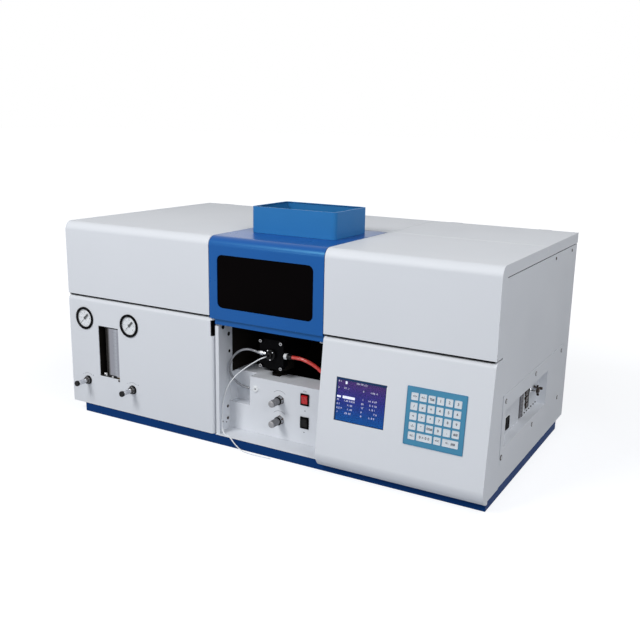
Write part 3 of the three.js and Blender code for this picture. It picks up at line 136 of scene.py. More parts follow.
@dataclass(frozen=True)
class Finish:
    """Procedural finish with mottled colour, uneven gloss and a fine raised grain.

    The pattern scales count features per metre of the object.
    """

    name: str
    colour: Colour
    roughness: float = 0.5
    metallic: float = 0.0
    specular: float = 0.5
    sheen: Colour = (1.0, 1.0, 1.0)
    mottle: float = 0.04
    mottle_scale: float = 14.0
    grain_scale: float = 900.0
    grain: float = 0.06
    gloss_play: float = 0.08
    emission: float = 0.0
    transmission: float = 0.0
    alpha: float = 1.0
    ior: float = 1.5

    def shader(self, nodes: bpy.types.Nodes) -> bpy.types.Node:
        """Adds the surface shader and sets its constant sockets.

        Args:
            nodes: Nodes of the material.

        Returns:
            The shader node.
        """
        surface = nodes.new("ShaderNodeBsdfPrincipled")
        surface.inputs["Metallic"].default_value = self.metallic
        surface.inputs["IOR"].default_value = self.ior
        surface.inputs["Specular IOR Level"].default_value = self.specular
        surface.inputs["Specular Tint"].default_value = (*self.sheen, 1)
        surface.inputs["Transmission Weight"].default_value = self.transmission
        surface.inputs["Alpha"].default_value = self.alpha
        surface.inputs["Emission Strength"].default_value = self.emission
        return surface

    def noise(self, material: bpy.types.Material, scale: float, detail: float,
              stretch: Triple = (1, 1, 1)) -> bpy.types.NodeSocket:
        """Adds a noise pattern on the piece's own coordinates.

        Args:
            material: The material that gets the nodes.
            scale: Features per metre.
            detail: Octaves of the noise.
            stretch: Factors on the three coordinates.

        Returns:
            The noise's value socket.
        """
        nodes, links = material.node_tree.nodes, material.node_tree.links
        place = nodes.new("ShaderNodeTexCoord")
        mapping = nodes.new("ShaderNodeMapping")
        mapping.inputs["Scale"].default_value = stretch
        pattern = nodes.new("ShaderNodeTexNoise")
        pattern.inputs["Scale"].default_value = scale
        pattern.inputs["Detail"].default_value = detail
        links.new(place.outputs["Object"], mapping.inputs["Vector"])
        links.new(mapping.outputs["Vector"], pattern.inputs["Vector"])
        return pattern.outputs["Fac"]

    def spread(self, material: bpy.types.Material, source: bpy.types.NodeSocket, low: float,
               high: float) -> bpy.types.NodeSocket:
        """Maps a noise value onto a range.

        Args:
            material: The material that gets the nodes.
            source: Socket with the noise value.
            low: Lower end of the range.
            high: Upper end of the range.

        Returns:
            The socket that carries the result.
        """
        nodes, links = material.node_tree.nodes, material.node_tree.links
        ranger = nodes.new("ShaderNodeMapRange")
        ranger.inputs["From Min"].default_value, ranger.inputs["From Max"].default_value = NOISE_RANGE
        ranger.inputs["To Min"].default_value = low
        ranger.inputs["To Max"].default_value = high
        links.new(source, ranger.inputs["Value"])
        return ranger.outputs["Result"]

    def tint(self, material: bpy.types.Material, factor: bpy.types.NodeSocket, first: Colour,
             second: Colour) -> bpy.types.NodeSocket:
        """Mixes two colours by a factor.

        Args:
            material: The material that gets the nodes.
            factor: Socket that mixes them.
            first: Colour at 0.
            second: Colour at 1.

        Returns:
            The socket that carries the result.
        """
        nodes, links = material.node_tree.nodes, material.node_tree.links
        mixer = nodes.new("ShaderNodeMix")
        mixer.data_type = "RGBA"
        mixer.inputs["A"].default_value = (*first, 1)
        mixer.inputs["B"].default_value = (*second, 1)
        links.new(factor, mixer.inputs["Factor"])
        return mixer.outputs["Result"]

    def base_colour(self, material: bpy.types.Material) -> bpy.types.NodeSocket:
        """Colour pattern: two close tones of the finish in soft clouds.

        Args:
            material: The material that gets the nodes.

        Returns:
            The socket that carries the result.
        """
        clouds = self.spread(material, self.noise(material, self.mottle_scale, 3), 0, 1)
        darker = tuple(c * (1 - self.mottle) for c in self.colour)
        lighter = tuple(min(1.0, c * (1 + self.mottle)) for c in self.colour)
        return self.tint(material, clouds, darker, lighter)

    def relief(self, material: bpy.types.Material) -> bpy.types.NodeSocket:
        """Height pattern of the surface's grain."""
        return self.noise(material, self.grain_scale, 2)

    def material(self) -> bpy.types.Material:
        """The finish as a material, made once and then shared."""
        known = bpy.data.materials.get(self.name)
        if known:
            return known
        material = bpy.data.materials.new(self.name)
        material.use_nodes = True
        nodes, links = material.node_tree.nodes, material.node_tree.links
        nodes.clear()
        surface = self.shader(nodes)
        output = nodes.new("ShaderNodeOutputMaterial")
        colour = self.base_colour(material)
        links.new(colour, surface.inputs["Base Color"])
        if self.emission:
            links.new(colour, surface.inputs["Emission Color"])
        gloss = self.spread(material, self.noise(material, self.mottle_scale * 2.3, 4),
                            max(0.02, self.roughness - self.gloss_play / 2),
                            self.roughness + self.gloss_play / 2)
        links.new(gloss, surface.inputs["Roughness"])
        if self.grain:
            bump = nodes.new("ShaderNodeBump")
            bump.inputs["Strength"].default_value = self.grain
            bump.inputs["Distance"].default_value = GRAIN_DEPTH
            links.new(self.relief(material), bump.inputs["Height"])
            links.new(bump.outputs["Normal"], surface.inputs["Normal"])
        links.new(surface.outputs["BSDF"], output.inputs["Surface"])
        material.diffuse_color = (*self.colour, 1)
        return material


@dataclass(frozen=True)
class BrushedFinish(Finish):
    """Metal with fine turned or drawn lines along one axis."""

    line: Triple = (1, 1, 0.03)

    def relief(self, material: bpy.types.Material) -> bpy.types.NodeSocket:
        """Noise drawn out into lines."""
        return self.noise(material, self.grain_scale, 3, self.line)


@dataclass(frozen=True)
class GradedFinish(Finish):
    """Finish whose colour runs through several tones along one axis: the lit display's own colours, and
    painted shade and highlight across the flow block.

    The gradient runs from low to high, in the cabinet's millimetres.
    """

    axis: Axis = Axis.Z
    low: float = 0.0
    high: float = 1.0
    tones: tuple[tuple[float, Colour], ...] = ()

    def base_colour(self, material: bpy.types.Material) -> bpy.types.NodeSocket:
        """Colour ramp along the axis.

        Args:
            material: The material that gets the nodes.

        Returns:
            The socket that carries the result.
        """
        nodes, links = material.node_tree.nodes, material.node_tree.links
        place = nodes.new("ShaderNodeTexCoord")
        split = nodes.new("ShaderNodeSeparateXYZ")
        ranger = nodes.new("ShaderNodeMapRange")
        along = self.axis.direction
        ranger.inputs["From Min"].default_value = at(*along * self.low).dot(along)
        ranger.inputs["From Max"].default_value = at(*along * self.high).dot(along)
        ramp = nodes.new("ShaderNodeValToRGB")
        points = ramp.color_ramp.elements
        while len(points) < len(self.tones):
            points.new(0.5)
        for point, (position, tone) in zip(points, self.tones):
            point.position = position
            point.color = (*tone, 1)
        links.new(place.outputs["Object"], split.inputs["Vector"])
        links.new(split.outputs[self.axis.name], ranger.inputs["Value"])
        links.new(ranger.outputs["Result"], ramp.inputs["Fac"])
        return ramp.outputs["Color"]


WHITE_PAINT = Finish("white_enamel", (0.72, 0.745, 0.79), 0.5, specular=0.24, mottle=0.012, mottle_scale=5,
                     grain=0.05)
BLUE_PAINT = Finish("blue_enamel", (0.008, 0.08, 0.34), 0.3, specular=0.5, sheen=(0.25, 0.8, 0.9),
                    mottle=0.04, mottle_scale=7, grain=0.05)
CHIMNEY_PAINT = Finish("light_blue_enamel", (0.025, 0.18, 0.45), 0.4, specular=0.14, mottle=0.05,
                       mottle_scale=9, grain=0.05)
NAVY_PAINT = Finish("navy_enamel", (0.006, 0.042, 0.17), 0.5, specular=0.03, mottle=0.08, mottle_scale=9,
                    grain=0.08)
BLACK_PAINT = Finish("matt_black_paint", (0.011, 0.0095, 0.008), 0.7, specular=0.03, mottle=0.2,
                     mottle_scale=20, grain=0.15)
BLACK_PLASTIC = Finish("black_moulding", (0.005, 0.005, 0.0055), 0.36, specular=0.16, mottle=0.15,
                       mottle_scale=40, grain=0.1, grain_scale=2500)
TINTED_PANE = Finish("tinted_pane", (0.0012, 0.0006, 0.0007), 0.08, specular=0.015, mottle=0.2, grain=0,
                     gloss_play=0.02)
SATIN_BLACK = Finish("satin_black", (0.002, 0.002, 0.0025), 0.5, specular=0.03, mottle=0.1, mottle_scale=30,
                     grain=0.1)
RUBBER = Finish("foot_rubber", (0.02, 0.02, 0.02), 0.85, specular=0.2, mottle=0.2, grain=0.3,
                grain_scale=1500, mottle_scale=60)
STEEL = BrushedFinish("turned_steel", (0.42, 0.42, 0.43), 0.3, 1.0, mottle=0.12, grain=0.12, grain_scale=2500,
                      mottle_scale=90)
DARK_STEEL = BrushedFinish("dark_steel", (0.13, 0.128, 0.13), 0.42, 0.9, mottle=0.25, grain=0.3,
                           grain_scale=3000, mottle_scale=160)
CHROME = BrushedFinish("bright_chrome", (0.72, 0.73, 0.75), 0.12, 1.0, grain=0.03, grain_scale=2500,
                       gloss_play=0.04)
KNURLED_STEEL = BrushedFinish("knurled_steel", (0.27, 0.27, 0.28), 0.45, 0.9, mottle=0.2, grain=0.3,
                              grain_scale=3000, mottle_scale=160)
SILVER = BrushedFinish("satin_silver", (0.86, 0.87, 0.89), 0.28, 1.0, grain=0.04, grain_scale=2500)
HANDLE_STEEL = BrushedFinish("handle_steel", (0.6, 0.61, 0.64), 0.32, 1.0, mottle=0.15, grain=0.1,
                             grain_scale=2500, mottle_scale=120)
GREY_MOULDING = Finish("grey_moulding", (0.2, 0.2, 0.22), 0.5, specular=0.2, mottle=0.2, mottle_scale=90,
                       grain=0.1)
BRONZE = BrushedFinish("dark_bronze", (0.075, 0.045, 0.028), 0.2, 1.0, sheen=(0.5, 0.34, 0.24), mottle=0.4,
                       grain=0.1, grain_scale=2500, mottle_scale=160)
SCREW = BrushedFinish("dulled_screw", (0.075, 0.062, 0.058), 0.45, 0.3, specular=0.2, mottle=0.3, grain=0.2,
                      grain_scale=3000, mottle_scale=200)
BRASS = BrushedFinish("brass", (0.6, 0.42, 0.16), 0.28, 1.0, mottle=0.1, grain=0.1, grain_scale=2500,
                      mottle_scale=60)
CASTING = Finish("grey_casting", (0.36, 0.37, 0.39), 0.55, 0.85, mottle=0.1, grain=0.5, grain_scale=700,
                 mottle_scale=40)
GAUGE_WHITE = Finish("gauge_face", (0.84, 0.86, 0.89), 0.5, mottle=0.02, grain=0.03)
CLEAR_GLASS = Finish("gauge_glass", (0.9, 0.95, 0.97), 0.05, alpha=0.08, mottle=0.01, grain=0,
                     gloss_play=0.01)
# Flow block: its tones are painted shade, darkest at the left edge, and a painted highlight band towards the
# right.
CLEAR_BLOCK_PAINTED_SHADE = GradedFinish(
    "clear_acrylic_painted_shade", (0.6, 0.6, 0.62), 0.15, specular=0.4, grain=0.05, axis=Axis.X, low=113.0, high=146.0,
    tones=((0.0, (0.03, 0.028, 0.026)), (0.1, (0.12, 0.12, 0.125)), (0.16, (0.29, 0.29, 0.33)),
           (0.5, (0.31, 0.32, 0.36)), (0.72, (0.43, 0.45, 0.5)), (0.9, (0.36, 0.37, 0.42)),
           (1.0, (0.4, 0.41, 0.46))))
ANODISED = Finish("brown_anodised", (0.02, 0.018, 0.016), 0.4, specular=0.16, mottle=0.3, mottle_scale=60,
                  grain=0.1)
BROWN_MOULDING = Finish("brown_moulding", (0.022, 0.012, 0.008), 0.35, specular=0.35, mottle=0.4,
                        mottle_scale=120, grain=0.1)
RED_PLASTIC = Finish("red_moulding", (0.5, 0.012, 0.015), 0.28, specular=0.4, mottle=0.06, mottle_scale=60,
                     grain=0.05)
RED_TUBE = Finish("red_tube", (0.74, 0.045, 0.025), 0.25, specular=0.4, mottle=0.1, mottle_scale=80,
                  grain=0.04)
GAS_TUBE = Finish("grey_tube", (0.3, 0.31, 0.34), 0.2, specular=0.6, transmission=0.2, mottle=0.1,
                  mottle_scale=80, grain=0.04)
CLEAR_TUBE = Finish("clear_tube", (0.5, 0.54, 0.6), 0.25, transmission=0.12, mottle=0.03, mottle_scale=80,
                    grain=0.04)
WHITE_PLASTIC = Finish("white_moulding", (0.78, 0.8, 0.82), 0.4, mottle=0.03, mottle_scale=50, grain=0.05)
PRINT = Finish("panel_print", (0.2, 0.21, 0.25), 0.5, specular=0.2, mottle=0.15, mottle_scale=300, grain=0)
DARK_PRINT = Finish("black_print", (0.006, 0.006, 0.008), 0.5, specular=0.15, mottle=0.1, mottle_scale=200,
                    grain=0)
LEGEND_PRINT = Finish("key_print", (0.035, 0.035, 0.055), 0.5, specular=0.2, mottle=0.15, mottle_scale=300,
                      grain=0)
MEMBRANE = Finish("teal_membrane", (0.062, 0.25, 0.41), 0.45, specular=0.25, mottle=0.04, mottle_scale=30,
                  grain=0.1, grain_scale=1800)
KEY_CAP = Finish("white_key", (0.68, 0.73, 0.78), 0.4, specular=0.3, mottle=0.03, mottle_scale=60, grain=0.06)
BOARD = Finish("circuit_board", (0.02, 0.18, 0.08), 0.4, mottle=0.25, mottle_scale=220, grain=0.2)
LAMP_GLASS = Finish("lamp_glass", (0.85, 0.9, 0.92), 0.04, transmission=0.85, mottle=0.02, grain=0,
                    gloss_play=0.02)
FRAME_PAINT = Finish("display_frame_paint", (0.004, 0.03, 0.1), 0.35, specular=0.2, mottle=0.1, grain=0.05)
SCREEN = GradedFinish(
    "lit_display", (0.1, 0.12, 0.5), 0.22, specular=0.15, grain=0, emission=0.8, low=115.0, high=201.0,
    tones=((0.0, (0.01, 0.105, 0.37)), (0.2, (0.015, 0.085, 0.36)), (0.5, (0.04, 0.045, 0.33)),
           (0.72, (0.085, 0.04, 0.3)), (0.9, (0.135, 0.04, 0.24)), (0.97, (0.09, 0.03, 0.2))))
SCREEN_TEXT = Finish("display_digits", (0.7, 0.72, 0.85), 0.4, emission=0.35, mottle=0.1, mottle_scale=300,
                     grain=0)


# Workshop: small steps that every piece is made with


def clear_selection() -> None:
    """Leaves edit mode and deselects everything."""
    if bpy.context.object and bpy.context.object.mode != "OBJECT":
        bpy.ops.object.mode_set(mode="OBJECT")
    bpy.ops.object.select_all(action="DESELECT")


def pick(*pieces: Piece) -> Piece:
    """Selects pieces alone and makes the first one active.

    Args:
        pieces: Pieces to select.

    Returns:
        The piece.
    """
    clear_selection()
    for piece in pieces:
        piece.select_set(True)
    bpy.context.view_layer.objects.active = pieces[0]
    return pieces[0]


def settle(piece: Piece, name: str) -> Piece:
    """Names a piece and moves its place into its mesh.

    Args:
        piece: The piece.
        name: Name of the piece.

    Returns:
        The piece.
    """
    pick(piece)
    bpy.ops.object.transform_apply(location=True, rotation=True, scale=True)
    piece.name = name
    piece.data.name = name
    return piece


def recalculate(piece: Piece) -> Piece:
    """Merges doubled points and turns all faces outwards.

    Args:
        piece: The piece.

    Returns:
        The piece.
    """
    pick(piece)
    bpy.ops.object.mode_set(mode="EDIT")
    bpy.ops.mesh.select_all(action="SELECT")
    bpy.ops.mesh.remove_doubles(threshold=0.000001)
    bpy.ops.mesh.normals_make_consistent(inside=False)
    bpy.ops.object.mode_set(mode="OBJECT")
    return piece


def block(name: str, x: Span, y: Span, z: Span) -> Piece:
    """A box between two corners, given in the cabinet's millimetres.

    Args:
        name: Name of the piece.
        x: Range along x in millimetres.
        y: Range along y in millimetres.
        z: Range along z in millimetres.

    Returns:
        The piece.
    """
    clear_selection()
    low, high = at(x[0], y[0], z[0]), at(x[1], y[1], z[1])
    bpy.ops.mesh.primitive_cube_add(size=1, location=(low + high) / 2)
    piece = bpy.context.object
    piece.scale = high - low
    return settle(piece, name)


def turned(name: str, axis: Axis, centre: Span, steps: list[Span], sides: int = 48,
           hollow: bool = False) -> Piece:
    """A solid turned on a lathe: a disc or hoop that is drawn out and resized from station to station.

    Args:
        name: Name of the piece.
        axis: Direction of the turning axis.
        centre: The two other coordinates, in x, y, z order.
        steps: Pairs of position along the axis and radius, in millimetres.
        sides: Corners of the round.
        hollow: Whether the stations go round a ring's section, back to the first one, instead of along a bar.

    Returns:
        The finished solid, its flat ends closed.
    """
    def station(position: float) -> Vector:
        """Point in metres at a position along the turning axis.

        Args:
            position: Place along the axis in millimetres.

        Returns:
            The point.
        """
        if axis is Axis.X:
            return at(position, *centre)
        if axis is Axis.Y:
            return at(centre[0], position, centre[1])
        return at(*centre, position)

    clear_selection()
    position, radius = steps[0]
    bpy.ops.mesh.primitive_circle_add(vertices=sides, radius=radius * MM,
                                      fill_type="NOTHING" if hollow else "NGON",
                                      location=station(position), rotation=axis.turn)
    piece = settle(bpy.context.object, name)
    bpy.ops.object.mode_set(mode="EDIT")
    bpy.ops.mesh.select_all(action="SELECT")
    for next_position, next_radius in steps[1:] + steps[:1] * hollow:
        move = station(next_position) - station(position)
        bpy.ops.mesh.extrude_region_move(TRANSFORM_OT_translate={"value": move})
        factor = next_radius / radius
        bpy.ops.transform.resize(value=(factor,) * 3, center_override=station(next_position))
        position, radius = next_position, next_radius
    bpy.ops.object.mode_set(mode="OBJECT")
    return recalculate(piece)


def soften(piece: Piece, width: float, segments: int = 2, angle: float = 30.0) -> Piece:
    """Rounds every edge sharper than an angle and shades the piece smooth.

    Args:
        piece: The piece to finish.
        width: Width of the rounding in millimetres.
        segments: Faces across the rounding.
        angle: Least angle of an edge that is rounded, in degrees.

    Returns:
        The same piece.
    """
    pick(piece)
    edge = piece.modifiers.new("edge", "BEVEL")
    edge.width = width * MM
    edge.segments = segments
    edge.limit_method = "ANGLE"
    edge.angle_limit = math.radians(angle)
    edge.miter_outer = "MITER_ARC"
    bpy.ops.object.modifier_apply(modifier="edge")
    bpy.ops.object.shade_smooth_by_angle(angle=SMOOTH_ANGLE)
    flats = piece.modifiers.new("flats", "WEIGHTED_NORMAL")
    flats.keep_sharp = True
    bpy.ops.object.modifier_apply(modifier="flats")
    return piece


def carve(piece: Piece, *tools: Piece) -> Piece:
    """Cuts tools out of a piece and deletes them.

    Args:
        piece: The piece.
        tools: Solids to cut away.

    Returns:
        The piece.
    """
    for tool in tools:
        pick(piece)
        cut = piece.modifiers.new("cut", "BOOLEAN")
        cut.operation = "DIFFERENCE"
        cut.solver = "EXACT"
        cut.object = tool
        bpy.ops.object.modifier_apply(modifier="cut")
        bpy.data.objects.remove(tool)
    return piece


def gather(name: str, pieces: list[Piece]) -> Piece:
    """Joins pieces of one finish into one.

    Args:
        name: Name of the piece.
        pieces: Pieces to join.

    Returns:
        The piece.
    """
    pick(*pieces)
    bpy.ops.object.join()
    return settle(bpy.context.object, name)


def turn_about(piece: Piece, point: Vector, angle: float, axis: str) -> Piece:
    """Turns a settled piece about a point in metres.

    Args:
        piece: The piece.
        point: Centre in metres.
        angle: Angle in radians.
        axis: Name of the axis.

    Returns:
        The piece.
    """
    turn = Matrix.Translation(point) @ Matrix.Rotation(angle, 4, axis) @ Matrix.Translation(-point)
    piece.matrix_world = turn @ piece.matrix_world
    return settle(piece, piece.name)


def lay_on_face(piece: Piece) -> Piece:
    """Moves a piece from the display frame's own millimetres onto the leaning front panel.

    Args:
        piece: The piece.

    Returns:
        The piece.
    """
    local = Matrix.Translation(-ORIGIN_SHIFT * MM)
    place = Matrix.Translation((FACE_TOP + ORIGIN_SHIFT) * MM) @ Matrix.Rotation(-FACE_LEAN, 4, "X")
    piece.matrix_world = place @ local @ piece.matrix_world
    return settle(piece, piece.name)


def lettering(name: str, words: str, x: float, y: float, z: float, size: float, thickness: float = 0.12,
              align: str = "CENTER", bold: float = 0.0, spacing: float = 1.0) -> Piece:
    """Upright characters that face the front, as thin raised shapes.

    Args:
        name: Name of the piece.
        words: Characters to set.
        x: Place of the middle or left end.
        y: Depth of their front.
        z: Height of the middle.
        size: Height of a line in millimetres.
        thickness: How far they stand out.
        align: Horizontal alignment.
        bold: Width in millimetres that every stroke gains.
        spacing: Factor on the distance between characters.

    Returns:
        The characters as one mesh.
    """
    clear_selection()
    bpy.ops.object.text_add(location=at(x, y + thickness / 2, z), rotation=(math.pi / 2, 0, 0))
    text = bpy.context.object
    text.data.body = words
    text.data.size = size * MM
    text.data.extrude = thickness * MM / 2
    text.data.resolution_u = 2
    text.data.offset = bold * MM / 2
    text.data.space_character = spacing
    text.data.align_x = align
    text.data.align_y = "CENTER"
    bpy.ops.object.convert(target="MESH")
    return recalculate(settle(bpy.context.object, name))


def slab(name: str, x: Span, y: Span, z: Span, corner: float, edge: float = 0.2,
         facing: Axis = Axis.Y) -> Piece:
    """A plate with round corners and a softened rim.

    Args:
        name: Name of the piece.
        x: Range along x in millimetres.
        y: Range along y in millimetres.
        z: Range along z in millimetres.
        corner: Radius of the corners in millimetres.
        edge: Rounding of the rim in millimetres.
        facing: Direction that the plate looks along.

    Returns:
        The piece.
    """
    piece = block(name, x, y, z)
    for line in piece.data.edges:
        start, end = (piece.data.vertices[i].co for i in line.vertices)
        line.select = abs((end - start).normalized().dot(facing.direction)) > 0.9
    bevel_selected(piece, corner)
    return soften(recalculate(piece), edge)


def bevel_selected(piece: Piece, corner: float) -> Piece:
    """Rounds the selected edges of a piece.

    Args:
        piece: The piece.
        corner: Radius of the corners in millimetres.

    Returns:
        The piece.
    """
    chosen = [line.select for line in piece.data.edges]
    bpy.ops.object.mode_set(mode="EDIT")
    bpy.ops.mesh.select_all(action="DESELECT")
    bpy.ops.object.mode_set(mode="OBJECT")
    for line, select in zip(piece.data.edges, chosen):
        line.select = select
    bpy.ops.object.mode_set(mode="EDIT")
    bpy.ops.mesh.select_mode(type="EDGE")
    bpy.ops.mesh.bevel(offset=corner * MM, segments=5, affect="EDGES")
    bpy.ops.mesh.select_mode(type="VERT")
    bpy.ops.object.mode_set(mode="OBJECT")
    return piece


def squeeze(piece: Piece, chosen: Callable[[Vector], bool], factors: Triple, centre: Vector) -> Piece:
    """Resizes the chosen points of a piece about a centre.

    Args:
        piece: The piece.
        chosen: Says of a point whether it moves.
        factors: Factors on the three directions.
        centre: Centre in metres.

    Returns:
        The piece.
    """
    pick(piece)
    bpy.ops.object.mode_set(mode="EDIT")
    bpy.ops.mesh.select_all(action="DESELECT")
    bpy.ops.object.mode_set(mode="OBJECT")
    for corner in piece.data.vertices:
        corner.select = chosen(corner.co)
    bpy.ops.object.mode_set(mode="EDIT")
    bpy.ops.transform.resize(value=factors, center_override=centre)
    bpy.ops.object.mode_set(mode="OBJECT")
    return piece


def arc_of_dashes(centre: Span, front: float, radius: float, half: Span, start: float,
                  count: int) -> list[Piece]:
    """Short raised dashes in an arc over a knob, even about its top, on a face that looks to the front.

    Args:
        centre: Middle of the arc's circle, as x and z in millimetres.
        front: Depth of the face in millimetres.
        radius: Radius in millimetres.
        half: Half length and half height of a dash in millimetres.
        start: First angle in degrees.
        count: Number of dashes.

    Returns:
        The pieces.
    """
    dashes = []
    sweep = 180 - 2 * start
    for i in range(count):
        angle = math.radians(start + sweep * i / (count - 1))
        x, z = centre[0] + radius * math.cos(angle), centre[1] + radius * math.sin(angle)
        dash = block("dash", (x - half[0], x + half[0]), (front - 0.12, front + 0.05),
                     (z - half[1], z + half[1]))
        dashes.append(turn_about(dash, at(x, front, z), -(angle - math.pi / 2), "Y"))
    return dashes


def tube_mesh(name: str, points: list[Vector], radius: float, sides: int = 16) -> Piece:
    """A round tube along a smooth curve through points in metres, open inside but closed at its ends.

    Args:
        name: Name of the piece.
        points: Route points in metres.
        radius: Radius in millimetres.
        sides: Corners of the round.

    Returns:
        The piece.
    """
    curve = bpy.data.curves.new(name, "CURVE")
    curve.dimensions = "3D"
    curve.resolution_u = 1
    curve.bevel_depth = radius * MM
    curve.bevel_resolution = sides // 4 - 1
    curve.use_fill_caps = True
    spline = curve.splines.new("POLY")
    route = smooth_route(points)
    spline.points.add(len(route) - 1)
    for point, place in zip(spline.points, route):
        point.co = (*place, 1)
    piece = bpy.data.objects.new(name, curve)
    bpy.context.scene.collection.objects.link(piece)
    pick(piece)
    bpy.ops.object.convert(target="MESH")
    piece = recalculate(settle(bpy.context.object, name))
    bpy.ops.object.shade_smooth_by_angle(angle=ROUND_ANGLE)
    return piece


def smooth_route(points: list[Vector], steps: int = 5) -> list[Vector]:
    """Points of a centripetal curve through the given ones, as the solids' tubes follow it.

    Args:
        points: Route points in metres.
        steps: Points between two route points.

    Returns:
        The points.
    """
    route = [points[0]]
    padded = [points[0] * 2 - points[1], *points, points[-1] * 2 - points[-2]]
    for p0, p1, p2, p3 in zip(padded, padded[1:], padded[2:], padded[3:]):
        t1 = (p1 - p0).length ** 0.5
        t2 = t1 + (p2 - p1).length ** 0.5
        t3 = t2 + (p3 - p2).length ** 0.5
        for i in range(1, steps + 1):
            t = t1 + (t2 - t1) * i / steps
            a1 = p0 * ((t1 - t) / t1) + p1 * (t / t1)
            a2 = p1 * ((t2 - t) / (t2 - t1)) + p2 * ((t - t1) / (t2 - t1))
            a3 = p2 * ((t3 - t) / (t3 - t2)) + p3 * ((t - t2) / (t3 - t2))
            b1 = a1 * ((t2 - t) / t2) + a2 * (t / t2)
            b2 = a2 * ((t3 - t) / (t3 - t1)) + a3 * ((t - t1) / (t3 - t1))
            route.append(b1 * ((t2 - t) / (t2 - t1)) + b2 * ((t - t1) / (t2 - t1)))
    return route


def route_length(points: list[Vector]) -> float:
    """Length in metres of the smooth curve through the points."""
    route = smooth_route(points)
    return sum((b - a).length for a, b in zip(route, route[1:]))


def dress(piece: Piece, finish: Finish) -> Piece:
    """Gives a piece one finish all over.

    Args:
        piece: The piece.
        finish: Its finish.

    Returns:
        The piece.
    """
    piece.data.materials.clear()
    piece.data.materials.append(finish.material())
    return piece


def mount(piece: Piece, finish: Finish, body: str = ROOT_BODY,
          replaces: tuple[str, ...] = ()) -> Piece:
    """Dresses a piece, sets it on its body and hides the solids that it stands for.

    Args:
        piece: The finished piece.
        finish: Its finish.
        body: The body that it moves with.
        replaces: Solids that it stands for.

    Returns:
        The same piece.
    """
    dress(piece, finish)
    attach(piece, body)
    if replaces:
        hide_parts(*replaces)
    log.info("%s rides on %s", piece.name, body)
    return piece


def softened_node(node: str, width: float) -> Piece:
    """A copy of a solid with its triangles merged into flats and its edges rounded.

    Args:
        node: Name of the solid.
        width: Width of the rounding in millimetres.

    Returns:
        The piece.
    """
    source = frame["nodes"][node]
    copy = source.copy()
    copy.data = source.data.copy()
    copy.parent = None
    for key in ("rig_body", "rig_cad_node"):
        if key in copy:
            del copy[key]
    bpy.context.scene.collection.objects.link(copy)
    pick(copy)
    bpy.ops.mesh.customdata_custom_splitnormals_clear()
    bpy.ops.object.mode_set(mode="EDIT")
    bpy.ops.mesh.select_all(action="SELECT")
    bpy.ops.mesh.remove_doubles(threshold=0.000002)
    bpy.ops.mesh.dissolve_limited(angle_limit=math.radians(0.5))
    bpy.ops.object.mode_set(mode="OBJECT")
    settle(copy, f"{node}_finished")
    return soften(copy, width)


# Studio


@dataclass(frozen=True)
class Lamp:
    """Soft square light that looks at a point, in metres and watts."""

    name: str
    place: Triple
    aim: Triple
    size: float
    power: float
    colour: Colour = (1.0, 1.0, 0.995)

    def build(self) -> None:
        """Adds the light."""
        clear_selection()
        place = Vector(self.place)
        turn = (Vector(self.aim) - place).to_track_quat("-Z", "Y").to_euler()
        bpy.ops.object.light_add(type="AREA", location=place, rotation=turn)
        light = bpy.context.object
        light.name = self.name
        light.data.size = self.size
        light.data.energy = self.power
        light.data.color = self.colour


